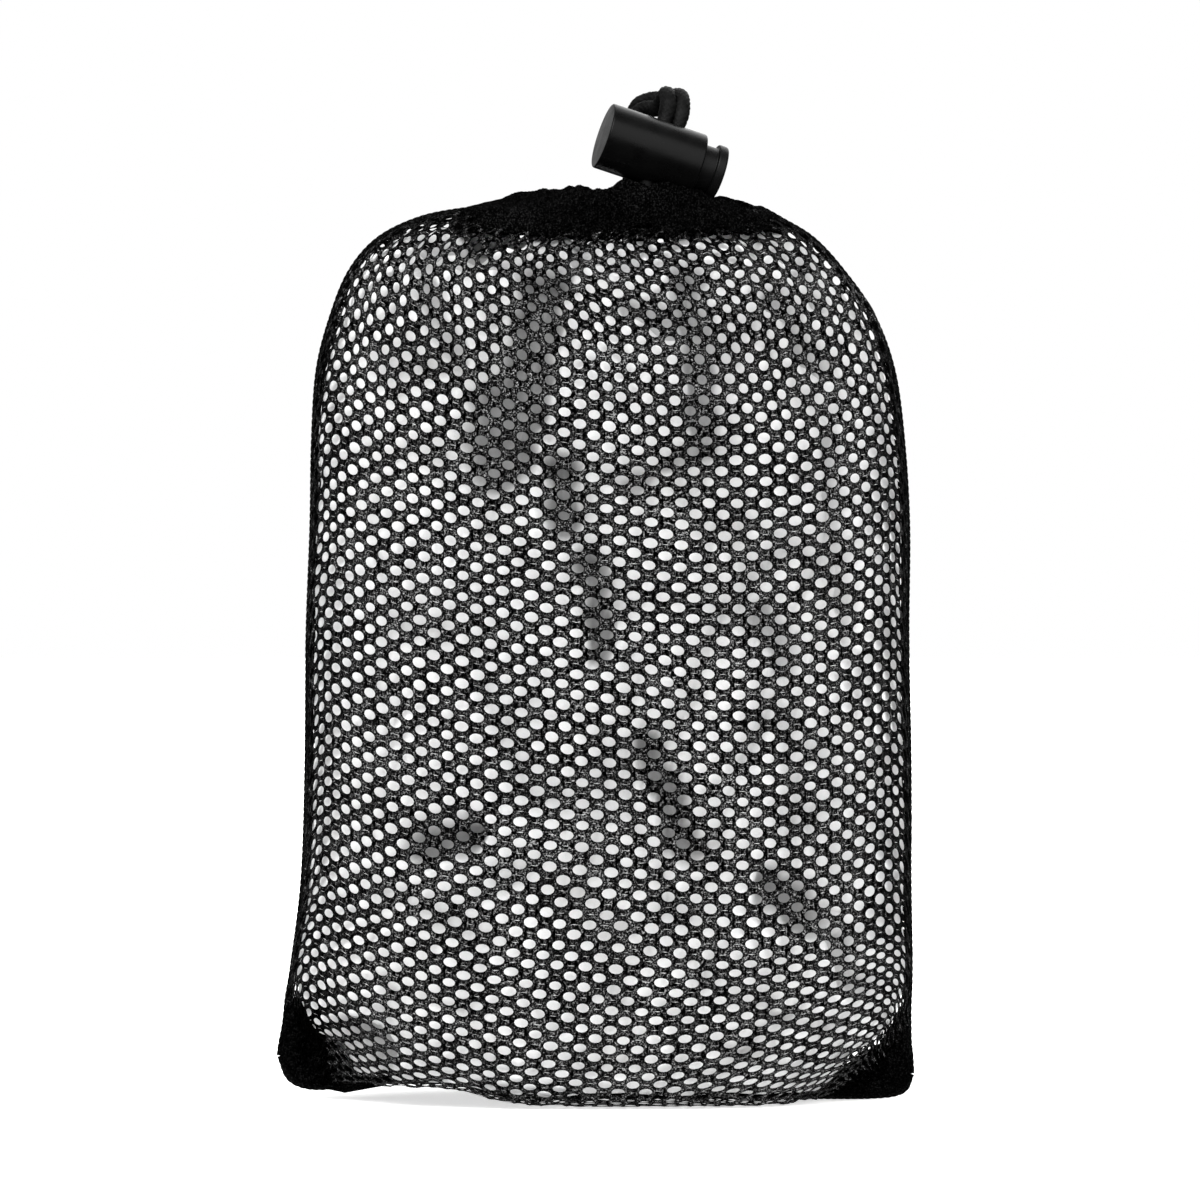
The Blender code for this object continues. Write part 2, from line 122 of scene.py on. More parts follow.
def smooth_line(points, each=12):
    """A Catmull-Rom curve through the points; each point may itself be an array."""
    points = [np.asarray(p, float) for p in points]
    points = [2 * points[0] - points[1], *points, 2 * points[-1] - points[-2]]
    line = []
    for a, b, c, d in zip(points, points[1:], points[2:], points[3:]):
        for t in np.arange(each) / each:
            line.append(
                0.5 * (2 * b + (c - a) * t + (2 * a - 5 * b + 4 * c - d) * t**2
                       + (3 * b - 3 * c + d - a) * t**3)
            )
    line.append(points[-2])
    return np.array(line)


def stand_in(name, node, points, faces, material, body="bag"):
    """A new mesh piece in a CAD node's place, riding on its body; the points are in millimetres."""
    data = bpy.data.meshes.new(name)
    data.from_pydata((np.asarray(points, float) * MM).tolist(), [], faces)
    data.validate()
    data.shade_smooth()
    data.materials.append(material)
    piece = bpy.data.objects.new(name, data)
    bpy.context.scene.collection.objects.link(piece)
    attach(piece, body)
    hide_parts(node)
    return piece


def grid_faces(rows, columns, wrap=False, start=0, closed=False):
    """Quads between rows of points; wrap joins each row's ends, closed the last row to the first."""
    across = columns if wrap else columns - 1
    up = rows if closed else rows - 1
    v, u = np.meshgrid(np.arange(up), np.arange(across), indexing="ij")
    a = v * columns + u
    b = v * columns + (u + 1) % columns
    c = ((v + 1) % rows) * columns + (u + 1) % columns
    d = ((v + 1) % rows) * columns + u
    return (np.stack([a, b, c, d], axis=-1).reshape(-1, 4) + start).tolist()


def carried_frames(points, first):
    """Two directions across a line at each of its points, carried along it without twisting."""
    points = np.asarray(points, float)
    ahead = np.gradient(points, axis=0)
    ahead /= np.linalg.norm(ahead, axis=1)[:, None]
    across = []
    side = np.asarray(first, float)
    for tangent in ahead:
        side = unit(side - side.dot(tangent) * tangent)
        across.append(side)
    across = np.array(across)
    return across, np.cross(ahead, across)


def swept(points, first, sides, radius_at):
    """Points of a round body along a line; radius_at(angle, run) gives its radius."""
    points = np.asarray(points, float)
    across, other = carried_frames(points, first)
    run = run_of(points)[:, None]
    angle = (np.arange(sides) * 2 * math.pi / sides)[None, :]
    radius = radius_at(angle, run) * np.ones((len(points), sides))
    ring = np.cos(angle)[..., None] * across[:, None, :] + np.sin(angle)[..., None] * other[:, None, :]
    return points[:, None, :] + radius[..., None] * ring


def capped_faces(rows, sides, start=0):
    faces = grid_faces(rows, sides, wrap=True, start=start)
    faces.append([start + k for k in reversed(range(sides))])
    faces.append([start + (rows - 1) * sides + k for k in range(sides)])
    return faces


def smooth_step(x):
    x = np.clip(x, 0.0, 1.0)
    return x * x * (3 - 2 * x)


# ---------------- materials
def material_of(name, grey, roughness, metallic=0.0, **sockets):
    """(material, node tree, shader) of a new material of one grey."""
    made = bpy.data.materials.new(name)
    made.use_nodes = True
    shader = made.node_tree.nodes["Principled BSDF"]
    shader.inputs["Base Color"].default_value = (grey, grey, grey, 1.0)
    shader.inputs["Roughness"].default_value = roughness
    shader.inputs["Metallic"].default_value = metallic
    for socket, value in sockets.items():
        shader.inputs[socket.replace("_", " ")].default_value = value
    return made, made.node_tree, shader


def feed(tree, shader, **outputs):
    """Links other nodes' outputs to the shader's sockets."""
    for socket, output in outputs.items():
        tree.links.new(output, shader.inputs[socket.replace("_", " ")])


def place(tree):
    """Where a point lies on its object, so that textures stay on a piece that moves."""
    return tree.nodes.new("ShaderNodeTexCoord").outputs["Object"]


def cloudy(tree, at, scale, detail, roughness=0.5):
    """Soft noise, with this many patches to the metre."""
    made = tree.nodes.new("ShaderNodeTexNoise")
    tree.links.new(at, made.inputs["Vector"])
    made.inputs["Scale"].default_value = scale
    made.inputs["Detail"].default_value = detail
    made.inputs["Roughness"].default_value = roughness
    return made.outputs["Fac"]


def attribute(tree, name):
    """A value that the mesh holds at each of its points."""
    made = tree.nodes.new("ShaderNodeAttribute")
    made.attribute_name = name
    return made.outputs["Fac"]


def ramp(tree, factor, stops):
    made = tree.nodes.new("ShaderNodeValToRGB")
    tree.links.new(factor, made.inputs["Fac"])
    elements = made.color_ramp.elements
    while len(elements) < len(stops):
        elements.new(0.5)
    for element, (position, value) in zip(elements, stops):
        element.position = position
        colour = value if isinstance(value, tuple) else (value, value, value)
        element.color = (*colour, 1.0)
    return made.outputs["Color"]


def multiplied(tree, one, other):
    """The product of two colours."""
    mix = tree.nodes.new("ShaderNodeVectorMath")
    mix.operation = "MULTIPLY"
    tree.links.new(one, mix.inputs[0])
    tree.links.new(other, mix.inputs[1])
    return mix.outputs["Vector"]


def bump(tree, height, distance, strength, below=None):
    made = tree.nodes.new("ShaderNodeBump")
    made.inputs["Distance"].default_value = distance
    made.inputs["Strength"].default_value = strength
    tree.links.new(height, made.inputs["Height"])
    if below is not None:
        tree.links.new(below, made.inputs["Normal"])
    return made.outputs["Normal"]


def knit_material(name, dark, light, shine, loop=0.55):
    """Knitted cloth: small loops in relief, matt filament, painted glints in its colour, and painted shade
    toward the holes' edges.
    """
    made, tree, shader = material_of(name, dark, 0.8, Specular_IOR_Level=shine)
    at = place(tree)
    loops = tree.nodes.new("ShaderNodeTexVoronoi")
    loops.inputs["Scale"].default_value = 1000 / loop
    tree.links.new(at, loops.inputs["Vector"])
    fine = cloudy(tree, at, 2600.0, 2.0)
    # painted highlight: bright specks in the base colour stand in for loops that catch the light
    glint = ramp(tree, fine, [(0.47, dark), (0.55, (dark + light) / 8), (0.66, light)])
    shade = ramp(tree, cloudy(tree, at, 60.0, 3.0), [(0.35, 0.6), (0.65, 1.3)])
    # painted shade: the knit is darker toward each hole's edge and lighter on the web between holes
    painted_hole_edge_shade = ramp(tree, attribute(tree, "rim"), [(0.0, 1.3), (0.45, 0.85), (1.0, 0.22)])
    coarse = bump(tree, loops.outputs["Distance"], 0.00025, 0.9)
    feed(tree, shader, Base_Color=multiplied(tree, multiplied(tree, glint, shade), painted_hole_edge_shade),
         Normal=bump(tree, fine, 0.0001, 0.6, coarse))
    return made


def cord_material():
    """Braided cord of fine filaments."""
    made, tree, shader = material_of("braided_cord", 0.002, 0.6, Specular_IOR_Level=0.05)
    at = place(tree)
    fine = cloudy(tree, at, 3200.0, 3.0)
    patch = cloudy(tree, at, 300.0, 2.0)
    feed(tree, shader, Base_Color=ramp(tree, patch, [(0.35, 0.001), (0.7, 0.004)]),
         Roughness=ramp(tree, fine, [(0.3, 0.42), (0.7, 0.66)]), Normal=bump(tree, fine, 0.00012, 0.8))
    return made


def filling_material():
    """Soft white sheet: matt, with fine crinkles, faint cool and warm patches, and painted shade in its
    folds.
    """
    made, tree, shader = material_of("white_filling", 0.9, 0.62, Sheen_Weight=0.1)
    at = place(tree)
    patch = cloudy(tree, at, 35.0, 4.0)
    crinkle = cloudy(tree, at, 260.0, 6.0, 0.62)
    white = ramp(tree, patch, [(0.3, (0.9, 0.905, 0.91)), (0.6, (0.95, 0.95, 0.945))])
    # painted shade: the sheet's colour darkens with the depth of its folds
    shade = ramp(tree, attribute(tree, "painted_fold_shade"), [(0.0, 1.0), (0.5, 0.62), (1.0, 0.3)])
    feed(tree, shader, Base_Color=multiplied(tree, white, shade),
         Roughness=ramp(tree, crinkle, [(0.3, 0.5), (0.7, 0.72)]), Normal=bump(tree, crinkle, 0.0008, 0.7))
    return made


def plastic_material(name, grey, roughness):
    """Moulded black plastic with a fine spark-eroded grain and faint rubbed patches."""
    made, tree, shader = material_of(name, grey, roughness, Specular_IOR_Level=0.08)
    at = place(tree)
    grain = cloudy(tree, at, 4200.0, 2.0)
    rub = cloudy(tree, at, 180.0, 5.0, 0.6)
    feed(tree, shader, Base_Color=ramp(tree, rub, [(0.35, grey * 0.85), (0.7, grey * 1.35)]),
         Roughness=ramp(tree, rub, [(0.3, roughness - 0.06), (0.75, roughness + 0.1)]),
         Normal=bump(tree, grain, 0.00004, 0.5))
    return made


def steel_material():
    """Drawn spring wire, a little streaked."""
    made, tree, shader = material_of("spring_steel", 0.56, 0.25, 1.0, Base_Color=(0.55, 0.56, 0.58, 1.0))
    fine = cloudy(tree, place(tree), 900.0, 3.0)
    feed(tree, shader, Roughness=ramp(tree, fine, [(0.3, 0.18), (0.7, 0.36)]))
    return made


net_cloth = knit_material("net_cloth", 0.0005, 0.15, 0.01)
# A darker copy of the net's knit: where the net gathers under the hem, and as painted shade near its
# sides.
gathered_and_shaded_cloth = knit_material("gathered_and_shaded_net_cloth", 0.0003, 0.035, 0.008)
# The same knit drawn near-black for the doubled cloth of the hem and corners, partly painted shade.
doubled_and_shaded_cloth = knit_material("doubled_and_shaded_cloth", 0.0001, 0.006, 0.001)
seam_cloth = knit_material("seam_thread", 0.0005, 0.008, 0.01, loop=0.4)
cord_cloth = cord_material()
white_sheet = filling_material()
barrel_plastic = plastic_material("lock_plastic", 0.0008, 0.3)
button_plastic = plastic_material("button_plastic", 0.0015, 0.4)
spring_steel = steel_material()

# ---------------- camera
camera = bpy.data.objects.new("camera", bpy.data.cameras.new("camera"))
bpy.context.scene.collection.objects.link(camera)
camera.location = (CAMERA_SIDE * MM, -CAMERA_DISTANCE * MM, CAMERA_HEIGHT * MM)
camera.rotation_euler = (math.pi / 2, 0.0, 0.0)
camera.data.sensor_width = 36.0
camera.data.lens = 36.0 * CAMERA_DISTANCE / PICTURE_WIDTH
camera.data.clip_end = 30.0
bpy.context.scene.camera = camera

# ---------------- cords
# The middle line of the pair of free cord ends after the lock, as the CAD solids have it, with
# one more point inside the knot.
FREE_ROUTE = [
    (19.9, -5.2, 250.8),
    (20.2, -3.4, 253.8),
    (19.9, -0.4, 255.9),
    (18.6, 3.0, 255.4),
    (16.2, 5.9, 254.1),
    (13.2, 7.6, 254.4),
    (10.4, 8.9, 252.9),
    (9.0, 10.1, 249.1),
    (8.8, 11.5, 244.3),
    (9.4, 13.6, 239.4),
    (10.2, 16.5, 234.6),
    (10.5, 20.2, 229.4),
    (10.4, 24.6, 223.6),
    (10.2, 29.0, 217.0),
    (9.9, 33.4, 209.6),
    (9.6, 37.6, 201.0),
    (9.3, 41.4, 191.6),
    (9.0, 44.4, 181.6),
    (8.8, 46.9, 173.6),
    (8.7, 48.6, 167.6),
    (8.7, 49.2, 163.4),
]
# The directions in which the two strands lie beside each other, by their share of the way.
BESIDE = [
    (0.0, BARREL_AXIS),
    (0.13, BARREL_AXIS),
    (0.21, np.array([0.1, 0.8, 0.7])),
    (0.30, np.array([0.1, 0.8, 0.7])),
    (0.48, np.array([1.0, 0.2, 0.0])),
    (1.0, np.array([1.0, 0.0, 0.0])),
]
STRAND_STEP = 3.2
KNOT_CENTRE = np.array([8.7, 49.4, 160.6])
KNOT_SIZE = 1.42
KNOT_FLATNESS = 0.62
KNOT_DEPTH = 2.6
KNOT_TILT = math.radians(35)
TOUCHING_OFFSET = 1.87          # soft braid, so the two strands press together
SWELLING = 0.3
BRAID_LOBES = 4                 # half the braid's strands that show round the cord
BRAID_PITCH = 1.55
BRAID_RELIEF = 0.2
CORD_SIDES = 40
CORD_MESH_STEP = 0.32


def braid_radius(angle, run):
    """A braid's surface: strands in two directions that pass over and under each other."""
    a = BRAID_LOBES * angle + math.pi * run / BRAID_PITCH
    b = BRAID_LOBES * angle - math.pi * run / BRAID_PITCH
    over = (np.floor(a / math.pi) + np.floor(b / math.pi)) % 2 == 0
    one = np.abs(np.sin(a)) ** np.where(over, 0.45, 1.1)
    other = np.abs(np.sin(b)) ** np.where(over, 1.1, 0.45)
    return CORD_RADIUS - BRAID_RELIEF * (1 - one * other)


def bent_radius(angle, run):
    """The same braid, swollen where it bends sharply over the lock."""
    bent = smooth_step((run - 8.0) / 4.0) * (1 - smooth_step((run - 26.0) / 8.0))
    return braid_radius(angle, run) + SWELLING * bent


def braided(points, first, radius_at=braid_radius):
    """(points, faces) of a braided cord along a line of points."""
    line = along(points, max(int(length_of(points) / CORD_MESH_STEP), 4))
    body = swept(line, first, CORD_SIDES, radius_at)
    return body.reshape(-1, 3), capped_faces(len(line), CORD_SIDES)


def strand(sign):
    """One free strand's centre line, which stays beside its twin."""
    start = [lock_point(STRANDS_AT, t) for t in (GAP / 2, 2.9, 5.7, 8.5)]
    line = smooth_line([*start, *FREE_ROUTE])
    steps = int(length_of(line) / STRAND_STEP)
    line = along(line, steps)
    ahead = np.gradient(line, axis=0)
    shares = [share for share, _ in BESIDE]
    ways = np.array([way for _, way in BESIDE])
    points = []
    for share, at, tangent in zip(np.linspace(0.0, 1.0, steps + 1), line, ahead):
        tangent = unit(tangent)
        way = np.array([np.interp(share, shares, ways[:, k]) for k in range(3)])
        beside = unit(way - way.dot(tangent) * tangent)
        points.append(at + sign * TOUCHING_OFFSET * beside)
    return smooth_line(points, 6)


def add_knot():
    """The knot that both strands are tied in, with its two cut tails."""
    turn = np.linspace(0.0, 2 * math.pi, 181)[:-1]
    wide = KNOT_SIZE * (2.0 + np.cos(3 * turn))
    x, y = wide * np.cos(2 * turn), KNOT_FLATNESS * wide * np.sin(2 * turn)
    z = KNOT_DEPTH * np.sin(3 * turn)
    c, s = math.cos(KNOT_TILT), math.sin(KNOT_TILT)
    loop = np.stack([x * c - z * s, y, x * s + z * c], axis=1)
    points, faces = braided(loop + KNOT_CENTRE, SIDEWAYS)
    for side in (-1, 1):
        tail = [KNOT_CENTRE + np.array(p) for p in (
            (side * 1.6, -0.4, -2.0), (side * 2.6, -1.4, -7.0), (side * 3.7, -1.6, -13.6))]
        more, more_faces = braided(smooth_line(tail), SIDEWAYS)
        faces += [[k + len(points) for k in face] for face in more_faces]
        points = np.vstack([points, more])
    return stand_in("cord_knot_tied", "cord_knot", points, faces, cord_cloth, "lock_body")


knot_piece = add_knot()
for sign, node in ((-1, "cord_end_left"), (1, "cord_end_right")):
    line = strand(sign)
    points, faces = braided(line, SIDEWAYS, bent_radius)
    piece = stand_in(node + "_braid", node, points, faces, cord_cloth, "lock_body")

# ---------------- bag surface
# Hoops round the filled body, as in the CAD: height at the sides and the middle, left edge,
# right edge, half depth, and the power of the hoop's superellipse.
HOOPS = [
    (0.0, 0.0, -58.0, 54.0, 15.0, 2.6),
    (0.3, 0.2, -61.0, 58.0, 24.0, 2.6),
    (2.2, 1.6, -62.0, 59.0, 34.5, 2.6),
    (6.5, 6.0, -64.5, 63.5, 40.0, 2.6),
    (13.0, 13.0, -68.5, 71.0, 43.5, 2.6),
    (22.0, 23.0, -75.0, 77.8, 45.0, 2.5),
    (34.0, 36.0, -77.4, 80.3, 45.4, 2.4),
    (56.0, 58.0, -74.7, 80.0, 45.5, 2.35),
    (85.0, 85.0, -73.7, 80.0, 45.5, 2.3),
    (118.0, 118.0, -73.4, 79.4, 45.3, 2.3),
    (146.0, 146.0, -72.4, 79.6, 44.6, 2.3),
    (168.0, 167.0, -72.0, 78.3, 43.0, 2.25),
    (186.0, 184.5, -70.8, 75.8, 39.8, 2.2),
    (200.0, 196.5, -67.2, 70.6, 35.5, 2.2),
    (211.0, 206.0, -62.6, 63.0, 30.5, 2.15),
    (219.0, 213.0, -55.6, 55.6, 25.0, 2.1),
    (224.0, 217.8, -45.5, 47.5, 20.8, 2.05),
    (226.2, 220.2, -35.0, 43.6, 18.4, 2.0),
    (226.8, 221.0, -26.0, 42.0, 16.4, 2.0),
    (227.0, 224.8, -24.4, 40.4, 15.2, 2.0),
]
# Empty corners: for the bottom seam and then each hoop, the (x, z) points that the cloth runs
# through outside the filled body, from the corner's outer edge inwards.
LEFT_CORNER = [
    [(-81.0, 11.2), (-77.3, 5.1), (-69.0, 2.2)],
    [(-80.9, 12.7), (-71.0, 4.0)],
    [(-80.6, 14.5), (-72.0, 6.0)],
    [(-80.2, 16.5)],
    [(-79.8, 18.7)],
    [(-79.5, 21.0)],
    [(-79.0, 26.0)],
]
RIGHT_CORNER = [
    [(81.0, 6.6), (77.9, 2.4), (70.0, 1.2)],
    [(80.9, 7.8), (72.0, 2.4)],
    [(80.8, 9.5), (72.0, 3.9)],
    [(80.7, 11.5)],
    [(80.4, 14.0)],
    [(80.3, 17.0)],
    [(80.3, 24.0)],
]
SEAM_HEIGHT = 1.2
EDGE_GAP = 0.9                  # from the seam's middle plane to a panel's edge
CORNER_GAP = 1.2
CORNER_BULGE = 3.0
BRIDGED = 0.6                   # the stretch it bridges, by how far off the corner's edge is
UNDERSIDE_LIFT = 4.4
LIFTED_AT = -48.0
LIFTED_HALF_WIDTH = 21.0
COLUMNS = 161
ROW_STEPS = 8
FLAT_HALF_WIDTH = 100.0
FLAT_LENGTH = 268.0
CORNER_LIFT = 40.0              # flat length that the bunched corners hide
CORNER_POWER = 6
FULL_WIDTH_FROM = 55.0
BOTTOM_HALF_WIDTH = 96.0        # the rest is bunched up in the corners
TAKEN_UP = 25.0                 # half the width that the hem's pleats hide
TAKEN_UP_FROM = 210.0
PLEAT_PITCH = 11.6
PLEAT_DEPTH = 0.1               # by the pleats' pitch
EDGE_FADE = 6.0                 # pleats and lumps die out this near the side seams


def hoop(row, gap=EDGE_GAP, inset=0.0, count=COLUMNS - 1):
    """The front half of one hoop, from the left seam to the right one."""
    side, middle, left, right, depth, power = row
    centre = (left + right) / 2
    half = (right - left) / 2 - inset
    depth = depth - inset
    first = math.asin((gap / depth) ** (power / 2))
    turn = np.linspace(first, math.pi - first, 361)
    across = -np.sign(np.cos(turn)) * np.abs(np.cos(turn)) ** (2 / power)
    out = np.sin(turn) ** (2 / power)
    height = middle + (side - middle) * np.abs(across) ** 2
    return along(np.stack([centre + half * across, -depth * out, height], axis=1), count)


def corner_points(outline):
    depths = [CORNER_GAP] + [CORNER_BULGE] * (len(outline) - 1)
    return np.array([(x, -depth, z) for (x, z), depth in zip(outline, depths)])


def past_corner(line, corner):
    """A hoop's points without the stretch that the empty corner's cloth bridges."""
    return line[run_of(line) >= BRIDGED * np.linalg.norm(line[0] - corner[0])]


def softened(line, width=5):
    """The line with its corners rounded off and its ends kept."""
    before = 2 * line[0] - line[width:0:-1]
    after = 2 * line[-1] - line[-2:-width - 2:-1]
    padded = np.vstack([before, line, after])
    weights = np.exp(-0.5 * (np.arange(-width, width + 1) / (width / 2)) ** 2)
    weights /= weights.sum()
    return np.stack([np.convolve(padded[:, k], weights, "valid") for k in range(3)], axis=1)


def panel_lines():
    """The front panel's lines from the bottom seam up to the hem, each with COLUMNS points."""
    _, _, left, right, _, _ = HOOPS[0]
    seam = np.array([(x, -EDGE_GAP, SEAM_HEIGHT) for x in np.linspace(left, right, 80)])
    lines = []
    for number, line in enumerate([seam] + [hoop(row) for row in HOOPS]):
        if number < len(LEFT_CORNER):
            first = corner_points(LEFT_CORNER[number])
            last = corner_points(RIGHT_CORNER[number])
            if number:
                line = past_corner(line, first)
                line = past_corner(line[::-1], last)[::-1]
            line = along(np.vstack([first, line, last[::-1]]), COLUMNS - 1)
            line = softened(softened(line))
        lines.append(along(line, COLUMNS - 1))
    return lines


def surface_of(lines, first_v, last_v, step=1.0):
    """A surface sampled at even steps of v, from lines at any heights: (rows, columns, 3)."""
    surface = smooth_line(lines, ROW_STEPS)
    steps = np.linalg.norm(np.diff(surface, axis=0), axis=2)
    run = np.vstack([np.zeros(surface.shape[1]), np.cumsum(steps, axis=0)])
    wanted = np.arange(0.0, last_v + step / 2, step)
    sampled = np.zeros((len(wanted), surface.shape[1], 3))
    for column in range(surface.shape[1]):
        v = first_v[column] + (last_v - first_v[column]) * run[:, column] / run[-1, column]
        for axis in range(3):
            sampled[:, column, axis] = np.interp(wanted, v, surface[:, column, axis])
    return sampled


def normals_of(surface):
    """Directions out of the bag at each point of a surface."""
    up = np.gradient(surface, axis=0)
    across = np.gradient(surface, axis=1)
    out = np.cross(across, up)
    size = np.linalg.norm(out, axis=2, keepdims=True)
    return out / np.maximum(size, 1e-9)


share = np.linspace(-1.0, 1.0, COLUMNS)
corner_start = CORNER_LIFT * np.abs(share) ** CORNER_POWER
bag_surface = surface_of(panel_lines(), corner_start, FLAT_LENGTH)
bag_normals = normals_of(bag_surface)
row_lengths = np.linalg.norm(np.diff(bag_surface, axis=1), axis=2).sum(axis=1)


def half_width(v):
    """Half the flat width of net that shows at a height v."""
    width = BOTTOM_HALF_WIDTH + (FLAT_HALF_WIDTH - BOTTOM_HALF_WIDTH) * smooth_step(v / FULL_WIDTH_FROM)
    return width - TAKEN_UP * smooth_step((v - TAKEN_UP_FROM) / (FLAT_LENGTH - TAKEN_UP_FROM))


def gathering(v):
    """How many times wider the flat net is than the bag's surface at that height."""
    length = np.interp(v, np.arange(len(row_lengths)), row_lengths)
    return np.maximum(2 * half_width(v) / length, 1.0)


def pleat_wave(u, seed):
    """Irregular pleats across the panel, from -1 to 1."""
    drift = 1.7 * np.sin(u / 17.0 + seed) + 1.1 * np.sin(u / 7.3 + 2.1 * seed)
    one = np.sin(2 * math.pi * (u + drift) / PLEAT_PITCH + seed)
    return one * (0.8 + 0.2 * np.sin(u / 9.1 + 3 * seed))


def bulge(u, v, seed):
    """Soft lumps of the contents under the net."""
    return (0.5 * np.sin(u / 19.0 + seed) * np.sin(v / 23.0 + 1.3 * seed)
            + 0.3 * np.sin(u / 9.7 + v / 15.0 + 2.2 * seed) * np.sin(v / 11.3 - u / 31.0))


def raised(points):
    """Left of the middle, the underside stands a little off the floor."""
    near = ((points[..., 0] - LIFTED_AT) / LIFTED_HALF_WIDTH) ** 4 + np.maximum(points[..., 2], 0.0) / 9.0
    return points + (UNDERSIDE_LIFT * np.exp(-near))[..., None] * np.array([0.0, 0.0, 1.0])


def on_panel(u, v, height, side, seed):
    """Places flat points of a panel on the bag; side is 1 for the front and -1 for the back."""
    column = (np.clip(u / half_width(v), -1, 1) + 1) / 2 * (COLUMNS - 1)
    j = np.minimum(column.astype(int), COLUMNS - 2)
    row = np.clip(v, 0, FLAT_LENGTH - 1e-6)
    i = np.minimum(row.astype(int), bag_surface.shape[0] - 2)
    s = (column - j)[..., None]
    t = (row - i)[..., None]

    def read(grid):
        low = grid[i, j] * (1 - s) + grid[i, j + 1] * s
        high = grid[i + 1, j] * (1 - s) + grid[i + 1, j + 1] * s
        return low * (1 - t) + high * t

    ratio = gathering(v)
    depth = PLEAT_DEPTH * PLEAT_PITCH / ratio * np.sqrt(ratio**2 - 1)
    inward = smooth_step((half_width(v) - np.abs(u)) / EDGE_FADE)
    out = height + (depth * pleat_wave(u, seed) + bulge(u, v, seed)) * inward
    point = raised(read(bag_surface) + read(bag_normals) * out[..., None])
    point[..., 2] = np.maximum(point[..., 2], NET_THICKNESS * 0.6 + height * 0.5)
    return point * np.array([1.0, side, 1.0])


# ---------------- net panels
PITCH_U = 7.4
PITCH_V = 5.2
HOLE_U = 1.7
HOLE_V = 1.19
HOLE_SPREAD = 0.04              # how much the holes differ in size
HOLE_SHIFT = 0.07               # how far they stray from their cells' middles
NET_THICKNESS = 0.46
PIN_HALF_HEIGHT = 0.07
GATHERED_FROM = 209.0           # above this the net is drawn in the darker cloth, and near its sides too, there as painted shade
SIDE_SHADE_FROM = 60.0
SIDE_SHADE_SHARE = 0.85
HOLE_TURN = 0.28                # how far the outer holes are turned back level
TURNED_BELOW = 210.0
PULLED_FROM = 185.0             # above this the holes are pulled taller and narrower
PULLED_WIDTH = 0.2
PULLED_HEIGHT = 0.14
TWIST = 0.1                     # how far the columns lean to the left near the hem
TWIST_FROM = 198.0
SAG = 0.065                     # how far the rows slope down to the right near the floor
SAG_BELOW = 120.0
LEVEL_LEFT = 7.0                # how far the bent rows are brought back level at the sides
LEVEL_RIGHT = 13.0
SQUEEZE = 0.34                  # how much closer the rows lie at the foot of the bag
SQUEEZED_BELOW = 74.0
ROWS_BELOW = 24                 # rows of cells that the squeeze draws up from below the panel
# Half a lattice cell's outline, anticlockwise from its right end. The two level edges carry
# a pinhole in the middle, where the knit opens.
CELL_RIGHT = (PITCH_U**2 + PITCH_V**2) / 4 / PITCH_U
CELL_TOP = ((PITCH_U**2 + PITCH_V**2) / 8 - PITCH_V**2 / 4) / (PITCH_U / 2)


def cell_outline():
    right = (CELL_RIGHT, 0.0)
    top = (CELL_TOP, PITCH_V / 2)
    middle = ((right[0] + top[0]) / 2, (right[1] + top[1]) / 2)
    pin = (0.0, PITCH_V / 2 - PIN_HALF_HEIGHT)
    half = [right, middle, top, pin, (-top[0], top[1]), (-middle[0], middle[1])]
    return np.array(half + [(-x, -y) for x, y in half])


CELL = cell_outline()
PINS = (3, 9)
HOLE_ANGLES = np.arange(len(CELL)) * 2 * math.pi / len(CELL)


def warp(u, v, seed):
    """Where a point of the flat lattice ends up on its panel, as tension pulls the knit about."""
    du = 0.9 * np.sin(v / 21.0 + seed) * np.cos(u / 37.0) + 0.35 * np.sin(u / 6.1 + v / 8.7 + seed)
    dv = 1.3 * np.sin(u / 33.0 + 1.7 * seed) * np.cos(v / 41.0) + 0.2 * np.sin(u / 7.9 - v / 5.3 + seed)
    above = np.maximum(v - TWIST_FROM, 0.0)
    du = du - TWIST * above**2 / (above + 25.0)
    dv = dv - SAG * u * smooth_step((SAG_BELOW - v) / SAG_BELOW)
    level = np.where(u < 0, LEVEL_LEFT, LEVEL_RIGHT) * np.abs(u / FLAT_HALF_WIDTH) ** 1.6
    dv = dv - level * np.clip((FLAT_LENGTH - v) / 208.0, 0.0, 1.0)
    dv = dv + SQUEEZE * np.maximum(SQUEEZED_BELOW - v, 0.0) * (0.25 + 0.75 * smooth_step(u / 70.0))
    return u + du, v + dv


def in_corner(x, z):
    """Whether the net there lies doubled over an empty corner, where it is drawn near-black, partly as
    painted shade.
    """
    left = x < -66.5 - 0.1 * z and z < 24.0
    right = x > 58.0 and z < 1.0 + (x - 58.0) * 0.7
    return left or right


def key_of(u, v):
    """What is the same for all cells that meet at a point of the lattice."""
    return round(u * 50), round(v * 50)


def net_cells(seed):
    """The middles of the lattice's cells that lie on the panel."""
    cells = []
    for k in range(-ROWS_BELOW, int(FLAT_LENGTH / (PITCH_V / 2)) + 6):
        columns = int(FLAT_HALF_WIDTH / PITCH_U) + 6
        for i in range(-columns, columns + 1):
            u = i * PITCH_U + (k % 2) * PITCH_U / 2
            v = k * PITCH_V / 2
            at_u, at_v = warp(u, v, seed)
            width = float(half_width(at_v))
            start = CORNER_LIFT * min(abs(at_u) / width, 1.0) ** CORNER_POWER
            if abs(at_u) < width + 0.5 and start + 0.4 < at_v < FLAT_LENGTH - 0.3:
                cells.append((u, v))
    return cells


def thin_keys(cells):
    """The cell corners where the knit has no thickness: the panel's edges and the pinholes."""
    pins = set()
    use = collections.Counter()
    for u, v in cells:
        corners = [key_of(u + x, v + y) for x, y in CELL]
        pins |= {corners[k] for k in PINS}
        use.update(frozenset(edge) for edge in zip(corners, corners[1:] + corners[:1]))
    return pins.union(*(edge for edge, count in use.items() if count == 1))


